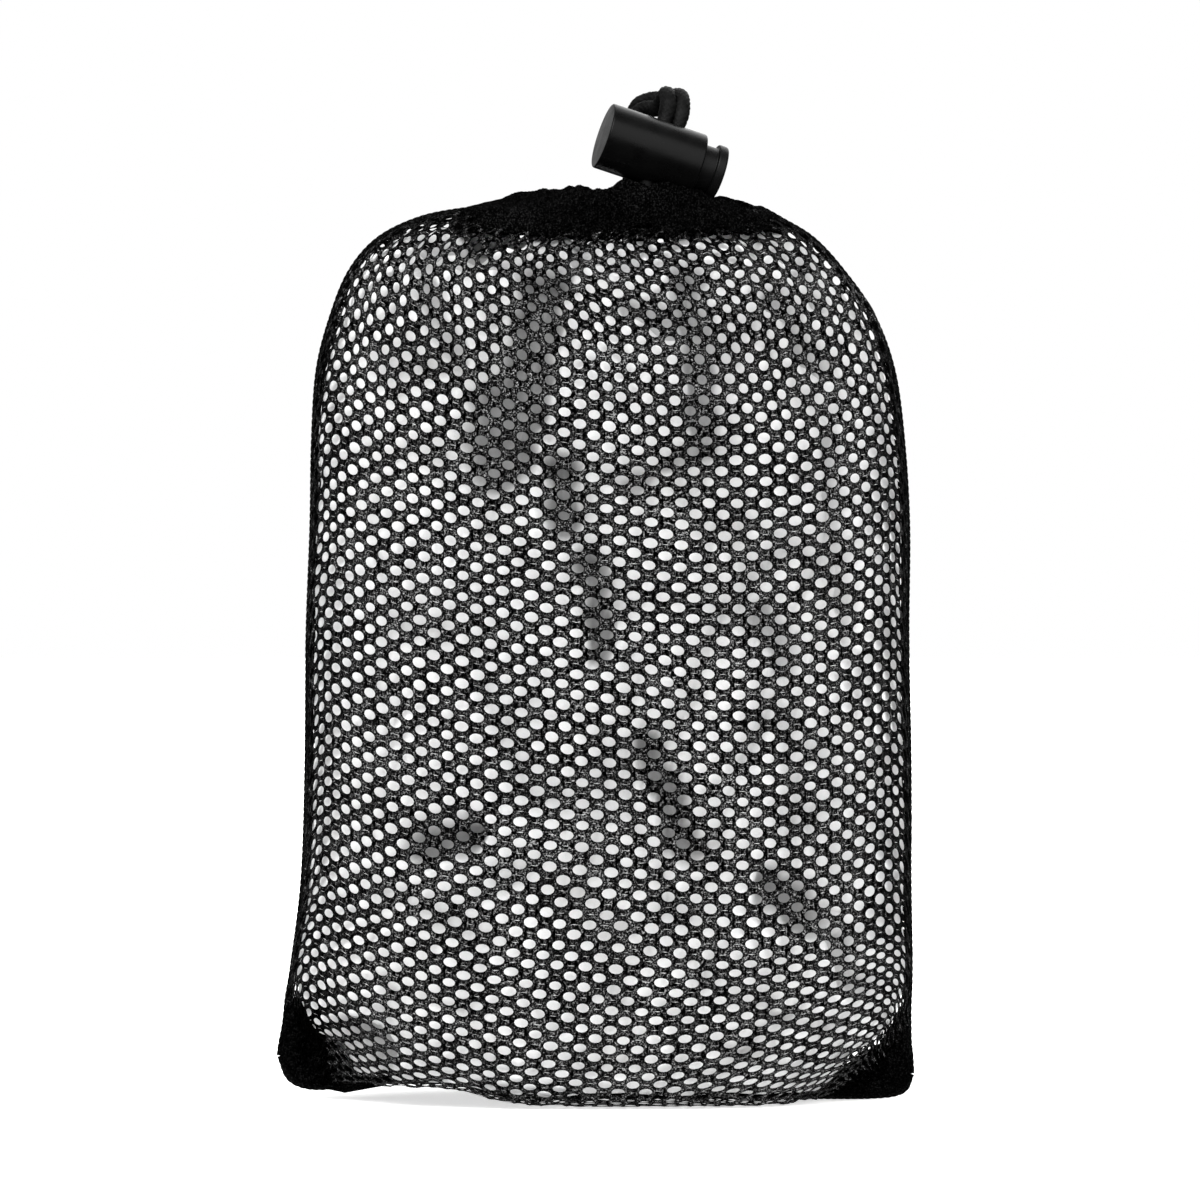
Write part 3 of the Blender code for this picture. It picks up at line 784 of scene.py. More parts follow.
def hole_points(u, v, rng):
    """The outline of one cell's hole."""
    size = 1.0 + rng.normal(0.0, HOLE_SPREAD)
    shift_u, shift_v = rng.normal(0.0, HOLE_SHIFT, 2)
    pulled = smooth_step((v - PULLED_FROM) / 45.0)
    across = HOLE_U * size * (1 - PULLED_WIDTH * pulled) * np.cos(HOLE_ANGLES)
    up = HOLE_V * size * (1 + PULLED_HEIGHT * pulled) * np.sin(HOLE_ANGLES)
    turn = -HOLE_TURN * u / FLAT_HALF_WIDTH * smooth_step((TURNED_BELOW - v) / 40.0)
    c, s = math.cos(turn), math.sin(turn)
    return zip(u + shift_u + across * c - up * s, v + shift_v + across * s + up * c)


def add_net(name, node, side, seed):
    """One panel: each cell of the lattice is a ring of yarn round a hole, with a front and a back."""
    rng = np.random.default_rng(seed)
    cells = net_cells(seed)
    thin = thin_keys(cells)
    points, faces = {}, []

    def point(u, v, height, rim=0.0):
        """The number of a point, which is new the first time."""
        key = (*key_of(u, v), height)
        points.setdefault(key, (len(points), u, v, height, rim))
        return points[key][0]

    for u, v in cells:
        hole = [point(at_u, at_v, 0, 1.0) for at_u, at_v in hole_points(u, v, rng)]
        front, back = [], []
        for x, y in CELL:
            up = 0 if key_of(u + x, v + y) in thin else 1
            front.append(point(u + x, v + y, up))
            back.append(point(u + x, v + y, -up))
        for k in range(len(CELL)):
            n = (k + 1) % len(CELL)
            faces.append([hole[k], front[k], front[n], hole[n]])
            faces.append([hole[n], back[n], back[k], hole[k]])
        for k in PINS:
            if front[k - 1] != back[k - 1]:
                faces.append([front[k - 1], back[k - 1], front[k]])
            if front[k + 1] != back[k + 1]:
                faces.append([front[k], back[k + 1], front[k + 1]])
    _, u, v, height, rims = np.array(list(points.values())).T
    u, v = warp(u, v, seed)
    width = half_width(v)
    u = np.clip(u, -width, width)
    v = np.clip(v, CORNER_LIFT * np.abs(u / width) ** CORNER_POWER + 0.2, FLAT_LENGTH)
    placed = on_panel(u, v, height * NET_THICKNESS / 2, side, seed)
    piece = stand_in(name, node, placed, [face[::side] for face in faces], net_cloth)
    data = piece.data
    data.attributes.new("rim", "FLOAT", "POINT").data.foreach_set("value", rims.astype(np.float32))
    data.materials.append(gathered_and_shaded_cloth)
    data.materials.append(doubled_and_shaded_cloth)
    for face in data.polygons:
        x, _, z = face.center / MM
        # painted shade: near the side seams the net is drawn in the darker cloth
        painted_side_shade = SIDE_SHADE_SHARE * smooth_step((abs(x - 3.0) - SIDE_SHADE_FROM) / 14.0)
        darker_cloth_share = max(smooth_step((z - GATHERED_FROM) / 13.0), painted_side_shade)
        # the net over the empty corners is drawn in the near-black cloth, partly as painted shade
        if in_corner(x, z):
            face.material_index = 2
        elif rng.random() < darker_cloth_share:
            face.material_index = 1
    return piece


front_net = add_net("front_net", "front_panel", 1, 3)
back_net = add_net("back_net", "back_panel", -1, 8)

# ---------------- filling
FILLING_COLUMNS = 150
FILLING_ROWS = 12
DEEPEST_FOLD = 19.0
# Folds that show through the front net: two ends (x, z) and how deep and wide the fold is.
FRONT_FOLDS = [
    ((-12.8, 212.0), (-18.5, 184.0), 15.0, 6.0),
    ((-18.5, 184.0), (-24.3, 161.0), 17.0, 7.0),
    ((-24.3, 178.0), (-26.5, 164.0), 15.0, 9.5),
    ((-9.0, 161.0), (-9.0, 145.8), 14.0, 4.5),
    ((-1.4, 138.0), (1.1, 115.3), 13.0, 4.0),
    ((13.8, 89.9), (24.0, 64.5), 13.0, 4.5),
    ((46.0, 55.0), (58.0, 47.0), 12.0, 5.5),
    ((24.0, 210.0), (29.0, 166.0), 11.0, 5.0),
    ((10.0, 156.0), (31.0, 168.0), 9.0, 3.5),
    ((44.0, 124.0), (49.0, 112.0), 9.0, 5.0),
    ((-46.0, 66.0), (-33.0, 68.0), 12.0, 5.0),
    ((10.0, 202.0), (31.0, 192.0), 9.0, 4.0),
    ((-44.0, 206.0), (-36.0, 188.0), 8.0, 4.0),
    ((48.0, 205.0), (60.0, 186.0), 9.0, 4.5),
    ((62.0, 168.0), (66.0, 120.0), 7.0, 4.0),
    ((-62.0, 16.0), (-56.0, 9.0), 9.0, 6.0),
    ((64.0, 40.0), (70.0, 30.0), 8.0, 5.0),
    ((-49.0, 214.0), (-14.0, 213.0), 7.0, 2.8),
    ((-43.0, 220.0), (-21.0, 221.5), 9.0, 4.0),
    ((-4.0, 215.5), (8.0, 213.5), 7.5, 3.0),
    ((50.0, 217.0), (61.0, 205.0), 8.0, 3.5),
]
CRUMPLES = ((38.0, 4.2), (17.0, 2.4), (8.0, 1.0))   # the facets' sizes and how deep they are
CRUMPLE_SEED = 1                # without one, noise_vector's offsets follow the clock


def crumple(points):
    """How far each point of the soft sheet sinks in: flat facets that meet in creases."""
    noise.seed_set(CRUMPLE_SEED)
    depth = np.zeros(len(points))
    for size, amount in CRUMPLES:
        for k, p in enumerate(points):
            where = Vector((p[0], p[1], p[2] * 0.7)) / size
            where += noise.noise_vector(where * 0.7) * 0.5
            distances, _ = noise.voronoi(where)
            depth[k] += amount * math.exp(-((distances[1] - distances[0]) / 0.22) ** 1.2)
    return depth


def fold_depth(points):
    x, y, z = points.T
    depth = np.zeros(len(points))
    for (x0, z0), (x1, z1), amount, wide in FRONT_FOLDS:
        length = math.hypot(x1 - x0, z1 - z0)
        t = np.clip(((x - x0) * (x1 - x0) + (z - z0) * (z1 - z0)) / length**2, 0, 1)
        away = np.hypot(x - x0 - t * (x1 - x0), z - z0 - t * (z1 - z0))
        away = away + 1.5 * np.sin(x / 3.1 + z / 4.7) * np.sin(z / 3.3 - x / 5.9)
        depth = np.maximum(depth, np.where(y < 0, amount * np.exp(-(np.abs(away) / wide) ** 3), 0.0))
    return depth


def filling_rows():
    """The filling's hoops with how far each lies inside the net, from the floor to the crown."""
    floor_row = (3.0, 3.0, -62.0, 59.5, 35.5, 2.6)
    crown = [
        (218.0, 213.2, -53.8, 54.0, 23.6, 2.1),
        (222.4, 217.0, -43.4, 46.4, 19.4, 2.05),
        (223.6, 218.6, -33.0, 41.0, 16.6, 2.0),
        (221.0, 219.2, -20.0, 34.0, 11.5, 2.0),
        (219.6, 219.4, -4.0, 20.0, 6.0, 2.0),
    ]
    below = [(row, 1.1 + 1.7 * float(smooth_step((row[0] - 175.0) / 25.0)))
             for row in [floor_row, *HOOPS[3:15]]]
    return below + [(row, 0.0) for row in crown]


def end_faces(first, count, flip):
    """Closes a ring of points with strips that join its front half to its back half."""
    faces = []
    half = count // 2
    for k in range(half):
        face = [first + k, first + k + 1, first + (count - k - 1) % count, first + (count - k) % count]
        if k == 0:
            face = face[:3]
        if k == half - 1:
            face = [face[0], face[1], face[3]]
        faces.append(face[::-1] if flip else face)
    return faces


def add_filling():
    lines = []
    for row, inset in filling_rows():
        front = hoop(row, gap=0.0, inset=inset, count=FILLING_COLUMNS)
        back = front[::-1] * np.array([1.0, -1.0, 1.0])
        lines.append(np.vstack([front[:-1], back[:-1]]))
    surface = smooth_line(lines, FILLING_ROWS)
    rows, count = surface.shape[:2]
    wrapped = np.concatenate([surface[:, -1:], surface, surface[:, :1]], axis=1)
    out = normals_of(wrapped)[:, 1:-1].reshape(-1, 3)
    points = surface.reshape(-1, 3)
    # The crumples fade out on the floor, at the sides and under the mouth.
    fade = np.clip((points[:, 2] - 1.0) / 8.0, 0.15, 1.0)
    fade *= 1 - 0.8 * smooth_step((np.abs(out[:, 0]) - 0.5) / 0.35)
    fade *= 1 - 0.7 * smooth_step((points[:, 2] - 208.0) / 8.0)
    depth = np.minimum(np.maximum(crumple(points) * fade, fold_depth(points)), DEEPEST_FOLD)
    faces = grid_faces(rows, count, wrap=True)
    faces += end_faces(0, count, True) + end_faces((rows - 1) * count, count, False)
    piece = stand_in("crumpled_filling", "white_filling",
                     raised(points - out * depth[:, None]), faces, white_sheet)
    # painted shade: how deep each point lies in a fold, which darkens the sheet's colour
    painted_fold_shade = piece.data.attributes.new("painted_fold_shade", "FLOAT", "POINT")
    painted_fold_shade.data.foreach_set("value", smooth_step((depth - 1.5) / 11.0).astype(np.float32))
    return piece


filling = add_filling()

# ---------------- gathered hem
HEM_CENTRE_X = 8.0
HEM_HALF_LENGTH = 28.5
HEM_HALF_WIDTH = 12.0
HEM_HEIGHT = 224.6
HEM_LEAN = 1.6
HEM_LEAN_ANGLE = math.radians(50)
HEM_AROUND = 720
HEM_SECTION = 84
HEM_FLAT_GIRTH = 400.0
HEM_FLAT_SECTION = 44.0
LEFT_SHOULDER = 9.0
RIGHT_SHOULDER = 5.0
BUNCH_HEIGHT = 4.6
PEAK_AT = 12.0                  # where the hem's lower edge rises to a peak under the lock
PEAK_HEIGHT = 3.9
SLIT_DEPTH = 3.0
# The hem's section: outwards and upwards from the middle of its tube
HEM_OUTLINE = [
    (3.4, -4.6), (6.5, -4.9), (6.7, -2.6), (5.6, 0.4), (4.5, 3.3), (3.0, 5.4), (0.6, 6.4),
    (-1.9, 5.8), (-3.6, 3.8), (-4.2, 0.6), (-3.8, -3.0), (-1.8, -4.7), (0.8, -4.5),
]


def hem_frame(turn):
    """Centre of the hem's tube and its outward direction at angles round the oval."""
    centre = np.stack([
        HEM_CENTRE_X + HEM_HALF_LENGTH * np.cos(turn),
        HEM_HALF_WIDTH * np.sin(turn),
        HEM_HEIGHT - HEM_LEAN * np.cos(turn + HEM_LEAN_ANGLE),
    ], axis=-1)
    out = np.stack([np.cos(turn) / HEM_HALF_LENGTH, np.sin(turn) / HEM_HALF_WIDTH, 0 * turn], axis=-1)
    return centre, out / np.linalg.norm(out, axis=-1, keepdims=True)


def net_dimple(u, v):
    """1 in the middle of each hole of the lattice, and 0 on the knit between them."""
    best = np.full(u.shape, 9.0)
    for shift in (0, 1):
        du = (u - shift * PITCH_U / 2 + PITCH_U / 2) % PITCH_U - PITCH_U / 2
        dv = (v - shift * PITCH_V / 2 + PITCH_V / 2) % PITCH_V - PITCH_V / 2
        best = np.minimum(best, (du / HOLE_U) ** 2 + (dv / HOLE_V) ** 2)
    return np.exp(-best**1.5)


def outside_lock(points):
    """Presses cloth away from the barrel and the button's lip."""
    away = points - lock_point(0.0, 0.0)
    run = away @ BARREL_AXIS
    beside = away - run[..., None] * BARREL_AXIS
    distance = np.linalg.norm(beside, axis=-1)
    least = np.where(run < BARREL_LENGTH + 0.5, BARREL_RADIUS, LIP_RADIUS) + LOCK_CLEARANCE
    touching = (run > -0.6) & (run < LIP_END + 0.6) & (distance < least)
    push = np.where(touching, least / np.maximum(distance, 1.0), 1.0)
    return points + beside * (push - 1.0)[..., None]


def hem_section():
    """The hem's section as even points, and the direction out of the cloth at each."""
    outline = along(smooth_line([*HEM_OUTLINE, HEM_OUTLINE[0]], 10), HEM_SECTION)[:-1]
    ahead = np.roll(outline, -1, axis=0) - np.roll(outline, 1, axis=0)
    facing = np.stack([ahead[:, 1], -ahead[:, 0]], axis=1)
    facing /= np.linalg.norm(facing, axis=1)[:, None]
    return outline, facing * np.sign((facing * outline).sum())


def hem_relief(u, v, top):
    """Pleats, the net's holes and a fine crinkle, at u round the flat hem and v across it."""
    phase = 2 * math.pi * u / HEM_FLAT_GIRTH
    pleats = (0.62 * np.sin(34 * phase + 1.2 * np.sin(5 * phase) + 0.25 * np.sin(v / 5.0))
              + 0.4 * np.sin(21 * phase + 1.5 * np.sin(3 * phase + 1.0) + v / 14.0)
              + 0.3 * np.sin(55 * phase + 1.9 * np.sin(4 * phase)))
    crinkle = 0.12 * np.sin(u * 2.9 + 1.3 * np.sin(v * 1.7)) * np.sin(v * 2.3 + np.sin(u * 1.1))
    return pleats * (0.75 - 0.5 * top) - 0.4 * net_dimple(u, v) + crinkle


def hem_rise(x, in_front, lower, top):
    """How far the hem's front edge, its rim and the cloth bunched up under the lock rise."""
    edge = PEAK_HEIGHT * np.exp(-((x - PEAK_AT) / 4.6) ** 2) + 2.4 * smooth_step((x - 15.0) / 9.0)
    edge = edge + 0.7 * np.sin(x / 2.3) * np.sin(x / 5.1 + 1.0)
    rim = np.exp(-((x + 3.0) / 7.0) ** 2) - 1.3 * smooth_step((-13.0 - x) / 8.0)
    rim = rim - 1.4 * smooth_step((x - 32.0) / 6.0)
    bunch = smooth_step((x - 1.6) / 5.6) * (1 - smooth_step((x - 20.0) / 12.0))
    return edge * lower * in_front + (rim + BUNCH_HEIGHT * bunch * in_front) * top


def in_slit(points):
    """1 in the middle of the slit that the cord comes up through, fading to 0 round it."""
    slit = lock_point(STRANDS_AT, -(BARREL_CENTRE[2] - 230.0) / CORD_AXIS[2])
    along_slit = unit([BARREL_AXIS[0], BARREL_AXIS[1], 0.0])
    across_slit = np.cross([0.0, 0.0, 1.0], along_slit)
    away = points - slit
    return np.exp(-((away @ along_slit / 5.0) ** 2 + (away @ across_slit / 2.6) ** 2) ** 1.5)


def add_hem():
    turn = np.arange(HEM_AROUND) * 2 * math.pi / HEM_AROUND
    centre, out = hem_frame(turn)
    steps = np.linalg.norm(np.roll(centre, -1, axis=0) - centre, axis=1)
    run = np.concatenate([[0.0], np.cumsum(steps)[:-1]])
    flat_u = run / steps.sum() * HEM_FLAT_GIRTH
    flat_v = np.arange(HEM_SECTION) / HEM_SECTION * HEM_FLAT_SECTION
    u, v = np.meshgrid(flat_u, flat_v, indexing="ij")
    outline, facing = hem_section()
    top = smooth_step((outline[:, 1] - 1.0) / 5.0)
    relief = hem_relief(u, v, top)
    # At the oval's ends the cloth runs on down the shoulders instead of dropping off.
    toward_end = np.cos(turn)[:, None]
    reach = np.where(toward_end < 0, LEFT_SHOULDER, RIGHT_SHOULDER) * toward_end**2
    reach = reach * np.clip(outline[:, 0] / 4.5, 0, 1) * np.clip((6.0 - outline[:, 1]) / 5, 0, 1)
    wide = outline[:, 0] + facing[:, 0] * relief + reach
    phase = 2 * math.pi * u / HEM_FLAT_GIRTH
    uneven = 0.25 * np.sin(17 * phase + 2.0) + 0.2 * np.sin(9 * phase + 0.6)
    high = outline[:, 1] + facing[:, 1] * relief + uneven * top
    points = centre[:, None, :] + out[:, None, :] * wide[..., None]
    in_front = smooth_step(-out[:, None, 1] / 0.4)
    lower = smooth_step((-0.4 - outline[:, 1]) / 3.4)
    points[..., 2] += high + hem_rise(points[..., 0], in_front, lower, top)
    points[..., 2] -= SLIT_DEPTH * in_slit(points) * top
    faces = grid_faces(HEM_AROUND, HEM_SECTION, wrap=True, closed=True)
    stand_in("gathered_hem", "drawstring_channel", outside_lock(points).reshape(-1, 3), faces,
             doubled_and_shaded_cloth)


add_hem()

# ---------------- drawcord in the hem
STRAIGHT_BELOW = 11.2
CORD_BEND = [(0.02, 4.0), (0.06, 2.2), (0.14, 0.4), (0.26, -0.8)]
CORD_FLAT_AT = 0.38
CORD_BELOW_CENTRE = 1.2


def into_hem(offset, way):
    """A strand from inside the lock down through the slit, and the angle where it lies flat."""
    straight = [lock_point(STRANDS_AT + offset, t) for t in np.linspace(-GAP / 2, -STRAIGHT_BELOW, 5)]
    x, y, _ = straight[-1]
    turn = math.atan2(y / HEM_HALF_WIDTH, (x - HEM_CENTRE_X) / HEM_HALF_LENGTH)
    bend = [hem_frame(np.array(turn + way * on))[0] + np.array([0.0, 0.0, up]) for on, up in CORD_BEND]
    return straight + bend, turn + way * CORD_FLAT_AT


def add_drawcord():
    down, first = into_hem(-STRAND_OFFSET, -1)
    up, last = into_hem(STRAND_OFFSET, 1)
    low = np.array([0.0, 0.0, -CORD_BELOW_CENTRE])
    ring = [hem_frame(np.array(turn))[0] + low for turn in np.linspace(first, last - 2 * math.pi, 30)]
    points, faces = braided(smooth_line([*down, *ring, *reversed(up)], 8), SIDEWAYS)
    stand_in("drawcord_braid", "drawcord", points, faces, cord_cloth)


add_drawcord()

# ---------------- seams and stitches
SEAM_RADIUS = 1.15
OVERLOCK_STEP = 1.7
STITCHES = 66
STITCH_RADIUS = 0.3


def overlock_radius(angle, run):
    """A cloth edge wrapped in slanting thread."""
    wraps = np.abs(np.sin(math.pi * run / OVERLOCK_STEP + angle / 2))
    return SEAM_RADIUS * (0.86 + 0.14 * wraps**0.6)


def add_seam(name, node, path):
    line = raised(along(smooth_line(path), int(length_of(path) / 0.3)))
    body = swept(line, (0.0, 1.0, 0.0), 20, overlock_radius).reshape(-1, 3)
    return stand_in(name, node, body, capped_faces(len(line), 20), seam_cloth)


def side_path(corner, column, inward):
    tips = [(outline[0][0] + inward * 0.8, 0.0, outline[0][1]) for outline in corner]
    edges = [(row[column] + inward * 0.5, 0.0, row[0]) for row in HOOPS[6:-1]]
    last = HOOPS[-1]
    return [*tips, *edges, (last[column] + inward, 0.0, last[0] - 0.5)]


def bottom_path():
    left = [(x, 0.0, max(z, SEAM_RADIUS)) for x, z in LEFT_CORNER[0]]
    right = [(x, 0.0, max(z, SEAM_RADIUS)) for x, z in RIGHT_CORNER[0]]
    middle = [(x, 0.0, SEAM_RADIUS) for x in (-58.0, -30.0, 0.0, 27.0, 54.0)]
    left[0] = (left[0][0] + 0.8, 0.0, left[0][2])
    right[0] = (right[0][0] - 0.8, 0.0, right[0][2])
    return [*left, *middle, *reversed(right)]


seam_left = add_seam("side_seam_left_overlock", "side_seam_left", side_path(LEFT_CORNER, 2, 1))
seam_right = add_seam("side_seam_right_overlock", "side_seam_right", side_path(RIGHT_CORNER, 3, -1))
seam_bottom = add_seam("bottom_seam_overlock", "bottom_seam", bottom_path())


def add_stitching():
    """The row of stitches that closes the channel just above the panels."""
    points = np.zeros((0, 3))
    faces = []
    for k in range(STITCHES):
        turn = (k + np.linspace(-0.36, 0.36, 7)) * 2 * math.pi / STITCHES
        centre, out = hem_frame(turn)
        line = centre + out * (5.3 + 0.5 * np.cos(np.linspace(-1.4, 1.4, 7)))[:, None]
        line[:, 2] -= 3.2
        body = swept(line, (0.0, 0.0, 1.0), 8, lambda angle, run: STITCH_RADIUS)
        faces += capped_faces(len(line), 8, start=len(points))
        points = np.vstack([points, body.reshape(-1, 3)])
    stand_in("channel_stitches", "channel_stitching", points, faces, seam_cloth)


add_stitching()

# ---------------- bunched corners
# Each pair is a point on the corner's inner side, on the filled body, and one on its outer edge.
LEFT_BUNCH = [
    ((-54.0, 3.4), (-64.0, 1.6)),
    ((-60.0, 7.0), (-75.5, 4.6)),
    ((-65.0, 12.5), (-80.3, 10.6)),
    ((-68.0, 19.0), (-79.8, 17.6)),
    ((-74.0, 27.0), (-79.0, 25.0)),
]
RIGHT_BUNCH = [
    ((50.0, 2.2), (64.0, 1.4)),
    ((58.0, 5.4), (76.8, 2.3)),
    ((67.0, 10.5), (80.5, 6.6)),
    ((73.6, 15.0), (80.1, 11.5)),
    ((77.6, 23.0), (80.0, 21.0)),
]
BUNCH_ROWS = 60
BUNCH_COLUMNS = 71
BACK_RELIEF = 0.2675            # the folds' depth at the back, by their depth in front


def add_bunch(name, node, pairs, seed):
    """Empty cloth folded on itself: a lumpy pad that thins out to the corner's edge."""
    inner = along(smooth_line([p for p, _ in pairs]), BUNCH_COLUMNS - 1)
    outer = along(smooth_line([p for _, p in pairs]), BUNCH_COLUMNS - 1)
    reach, b = np.meshgrid(np.linspace(0.0, 1.0, BUNCH_ROWS), np.linspace(0.0, 1.0, BUNCH_COLUMNS),
                           indexing="ij")
    x, z = inner.T[:, None, :] * (1 - reach) + outer.T[:, None, :] * reach
    half = (4.4 - 0.6 * reach) * np.sqrt(1 - 0.99 * reach**9) * np.clip(5 * b * (1 - b), 0.0, 1.0) ** 0.3
    half = np.where((reach > 0.985) | (b < 0.01) | (b > 0.99), 0.05, half)
    folds = np.sin(26 * b + 5 * reach + seed) + 0.6 * np.sin(47 * b - 9 * reach + 2 * seed)
    folds = folds + 0.5 * np.sin(17 * reach + 11 * b)
    dimples = net_dimple(x * 1.7 + z * 0.5, z * 1.5 - x * 0.4)
    relief = np.clip(half, 0, 1.2) * (0.36 * folds - 0.4 * dimples)
    front_points = np.stack([x, -half - relief, np.maximum(z, 0.5)], axis=-1).reshape(-1, 3)
    back_points = np.stack([x, half + BACK_RELIEF * relief, np.maximum(z, 0.5)], axis=-1).reshape(-1, 3)
    count = len(front_points)
    front = grid_faces(BUNCH_ROWS, BUNCH_COLUMNS)
    back = grid_faces(BUNCH_ROWS, BUNCH_COLUMNS, start=count)
    rim = [*range(BUNCH_COLUMNS - 1), *range(BUNCH_COLUMNS - 1, count - 1, BUNCH_COLUMNS),
           *range(count - 1, count - BUNCH_COLUMNS, -1), *range(count - BUNCH_COLUMNS, 0, -BUNCH_COLUMNS)]
    walls = [[n, k, k + count, n + count] for k, n in zip(rim, rim[1:] + rim[:1])]
    faces = front + [face[::-1] for face in back] + walls
    if pairs is RIGHT_BUNCH:
        faces = [face[::-1] for face in faces]
    stand_in(name, node, np.vstack([front_points, back_points]), faces, doubled_and_shaded_cloth)


add_bunch("corner_bunch_left", "bottom_corner_left", LEFT_BUNCH, 0.4)
add_bunch("corner_bunch_right", "bottom_corner_right", RIGHT_BUNCH, 2.3)

# ---------------- cord lock
BORE_RADIUS = 6.75
END_WALL = 2.0
PLUNGER_RADIUS = BORE_RADIUS - GAP
PLUNGER_START = 8.0
NECK_START = 25.0
NECK_RADIUS = 6.1
LIP_START = 29.2
SLOT_HALF_WIDTH = CORD_RADIUS + 0.4
SPRING_RADIUS = 4.8
SPRING_WIRE = 0.3
SPRING_TURNS = 3
LATHE_STEPS = 128


def rounded(corners):
    """A profile with arcs at its corners, from (radius, distance, size of the arc)."""
    corners = np.array(corners, float)
    made = [corners[0, :2]]
    for before, here, after in zip(corners, corners[1:], corners[2:]):
        size = here[2]
        if size <= 0:
            made.append(here[:2])
            continue
        back = here[:2] + unit(before[:2] - here[:2]) * size
        forth = here[:2] + unit(after[:2] - here[:2]) * size
        for t in np.linspace(0.0, 1.0, 7):
            made.append((1 - t) ** 2 * back + 2 * t * (1 - t) * here[:2] + t**2 * forth)
    made.append(corners[-1, :2])
    return np.array(made)


def lathe(name, node, corners, material, body):
    """A turned piece on the barrel's axis; its profile starts and ends on the axis."""
    profile = rounded(corners)
    turn = np.arange(LATHE_STEPS) * 2 * math.pi / LATHE_STEPS
    origin = lock_point(0.0, 0.0)
    around = np.cos(turn)[:, None] * SIDEWAYS + np.sin(turn)[:, None] * CORD_AXIS
    rings = [origin + BARREL_AXIS * s + r * around for r, s in profile[1:-1]]
    ends = origin + BARREL_AXIS * profile[[0, -1], 1:]
    faces = grid_faces(len(rings), LATHE_STEPS, wrap=True)
    first = len(rings) * LATHE_STEPS
    end = first - LATHE_STEPS
    for k in range(LATHE_STEPS):
        n = (k + 1) % LATHE_STEPS
        faces.append([n, k, first])
        faces.append([end + k, end + n, first + 1])
    return stand_in(name, node, np.vstack([*rings, ends]), faces, material, body)


def cut_slot(piece, low, high):
    """Cuts the long hole with round ends that both strands pass through."""
    ends = []
    radius = SLOT_HALF_WIDTH
    for middle, start in ((high - radius, -0.5), (low + radius, 0.5)):
        for turn in np.linspace(start, start + 1.0, 13) * math.pi:
            ends.append((middle + radius * math.cos(turn), radius * math.sin(turn)))
    points = [lock_point(s, up, side) for up in (-14.0, 14.0) for s, side in ends]
    count = len(ends)
    faces = grid_faces(2, count, wrap=True)
    faces.append(list(reversed(range(count))))
    faces.append(list(range(count, 2 * count)))
    data = bpy.data.meshes.new("slot")
    data.from_pydata((np.array(points) * MM).tolist(), [], faces)
    cutter = bpy.data.objects.new("slot", data)
    bpy.context.scene.collection.objects.link(cutter)
    modifier = piece.modifiers.new("slot", "BOOLEAN")
    modifier.operation = "DIFFERENCE"
    modifier.solver = "EXACT"
    modifier.object = cutter
    graph = bpy.context.evaluated_depsgraph_get()
    cut = bpy.data.meshes.new_from_object(piece.evaluated_get(graph))
    piece.modifiers.remove(modifier)
    piece.data = cut
    cut.shade_smooth()
    cut.set_sharp_from_angle(angle=math.radians(35))
    bpy.data.objects.remove(cutter)


strands_half = STRAND_OFFSET + CORD_RADIUS
barrel = lathe("cord_lock_barrel", "lock_barrel", [
    (0.0, 0.0, 0), (BARREL_RADIUS, 0.0, 0.55), (BARREL_RADIUS, BARREL_LENGTH, 0.6),
    (BORE_RADIUS, BARREL_LENGTH, 0.35), (BORE_RADIUS, END_WALL, 0.3), (0.0, END_WALL, 0),
], barrel_plastic, "lock_body")
cut_slot(barrel, STRANDS_AT - strands_half - 2 * GAP, STRANDS_AT + strands_half + GAP)
plunger = lathe("cord_lock_button", "lock_plunger", [
    (0.0, PLUNGER_START, 0), (PLUNGER_RADIUS, PLUNGER_START, 0.4), (PLUNGER_RADIUS, NECK_START, 0.4),
    (NECK_RADIUS, NECK_START, 0), (NECK_RADIUS, LIP_START, 0.3), (LIP_RADIUS, LIP_START, 0.5),
    (LIP_RADIUS, LIP_END, 0.8), (0.0, LIP_END, 0),
], button_plastic, "lock_button")
cut_slot(plunger, STRANDS_AT - strands_half - GAP, STRANDS_AT + strands_half + GAP + BUTTON_TRAVEL)


def add_spring():
    low = END_WALL + SPRING_WIRE + GAP
    high = PLUNGER_START - SPRING_WIRE - GAP
    line = []
    for part in np.linspace(0.0, 1.0, SPRING_TURNS * 40 + 1):
        turn = part * SPRING_TURNS * 2 * math.pi
        rise = smooth_step((part - 0.12) / 0.76)
        line.append(lock_point(low + (high - low) * rise, SPRING_RADIUS * math.sin(turn),
                               SPRING_RADIUS * math.cos(turn)))
    body = swept(line, BARREL_AXIS, 12, lambda angle, run: SPRING_WIRE).reshape(-1, 3)
    piece = stand_in("cord_lock_spring", "lock_spring", body, capped_faces(len(line), 12),
                     spring_steel, "lock_body")
    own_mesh(piece)


add_spring()

# ---------------- studio
FLOOR_HALF_WIDTH = 12.0         # metres, as all of the studio


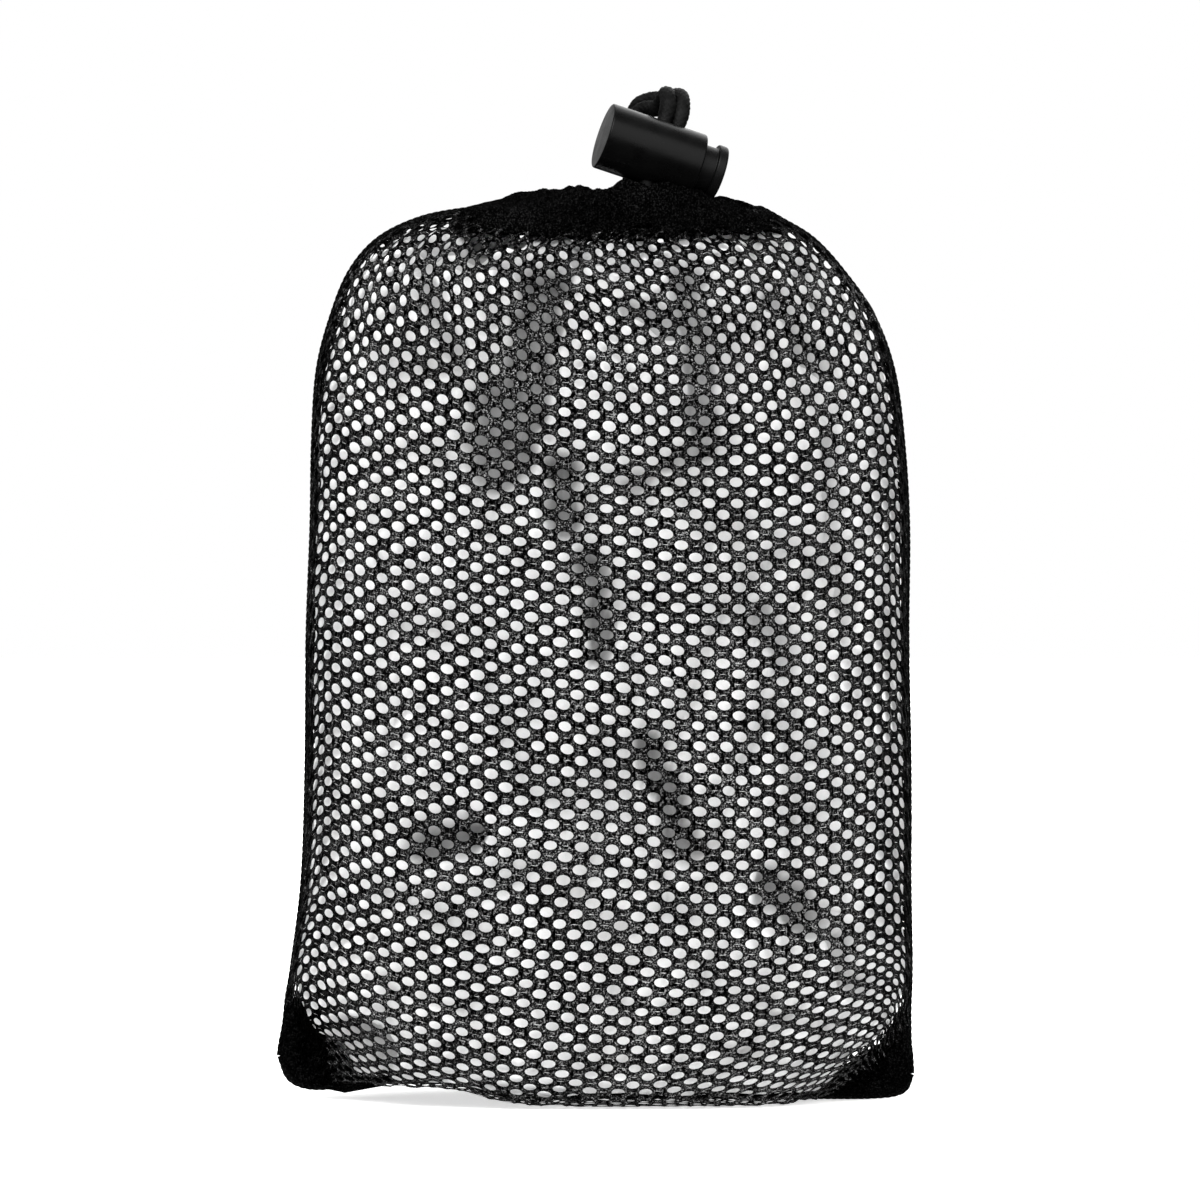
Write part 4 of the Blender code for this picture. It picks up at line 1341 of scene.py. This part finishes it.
def add_floor():
    h = FLOOR_HALF_WIDTH
    data = bpy.data.meshes.new("floor")
    data.from_pydata([(-h, -h, 0), (h, -h, 0), (h, h, 0), (-h, h, 0)], [], [(0, 1, 2, 3)])
    floor = bpy.data.objects.new("floor", data)
    bpy.context.scene.collection.objects.link(floor)
    paper, _, _ = material_of("floor_paper", 0.9, 0.8, Emission_Color=(1.0, 1.0, 1.0, 1.0),
                              Emission_Strength=0.6)
    data.materials.append(paper)
    floor.visible_glossy = False


def add_light(name, stands_at, energy, spread):
    """A soft sun that shines at the bag's middle; its spread is in degrees."""
    data = bpy.data.lights.new(name, "SUN")
    data.energy = energy
    data.angle = math.radians(spread)
    light = bpy.data.objects.new(name, data)
    bpy.context.scene.collection.objects.link(light)
    light.location = stands_at
    toward = Vector((0.0, 0.0, 0.12)) - Vector(stands_at)
    light.rotation_euler = toward.to_track_quat("-Z", "Y").to_euler()


def map_range(tree, value, given, made):
    node = tree.nodes.new("ShaderNodeMapRange")
    tree.links.new(value, node.inputs["Value"])
    node.inputs["From Min"].default_value, node.inputs["From Max"].default_value = given
    node.inputs["To Min"].default_value, node.inputs["To Max"].default_value = made
    return node.outputs["Result"]


def combined(tree, operation, one, other):
    node = tree.nodes.new("ShaderNodeMath")
    node.operation = operation
    tree.links.new(one, node.inputs[0])
    tree.links.new(other, node.inputs[1])
    return node.outputs["Value"]


def add_world():
    """A backdrop that looks white, and lights the bag from above and from behind."""
    world = bpy.data.worlds.new("studio")
    world.use_nodes = True
    tree = world.node_tree
    way = tree.nodes.new("ShaderNodeSeparateXYZ")
    tree.links.new(tree.nodes.new("ShaderNodeTexCoord").outputs["Generated"], way.inputs[0])
    above = map_range(tree, way.outputs["Z"], (-0.1, 0.5), (0.05, 0.5))
    behind = map_range(tree, way.outputs["Y"], (0.7, 0.95), (0.0, 0.35))
    seen = tree.nodes.new("ShaderNodeLightPath").outputs["Is Camera Ray"]
    background = tree.nodes["Background"]
    background.inputs["Color"].default_value = (1.0, 1.0, 1.0, 1.0)
    strength = combined(tree, "MAXIMUM", seen, combined(tree, "ADD", above, behind))
    tree.links.new(strength, background.inputs["Strength"])
    bpy.context.scene.world = world


add_floor()
add_light("key", (-0.7, -1.6, 1.9), 5.4, 45)
add_light("fill", (1.2, -1.6, 0.9), 2.5, 60)
add_light("back", (0.4, 1.8, 1.6), 1.2, 50)
add_world()
bpy.context.scene.view_settings.view_transform = "Standard"
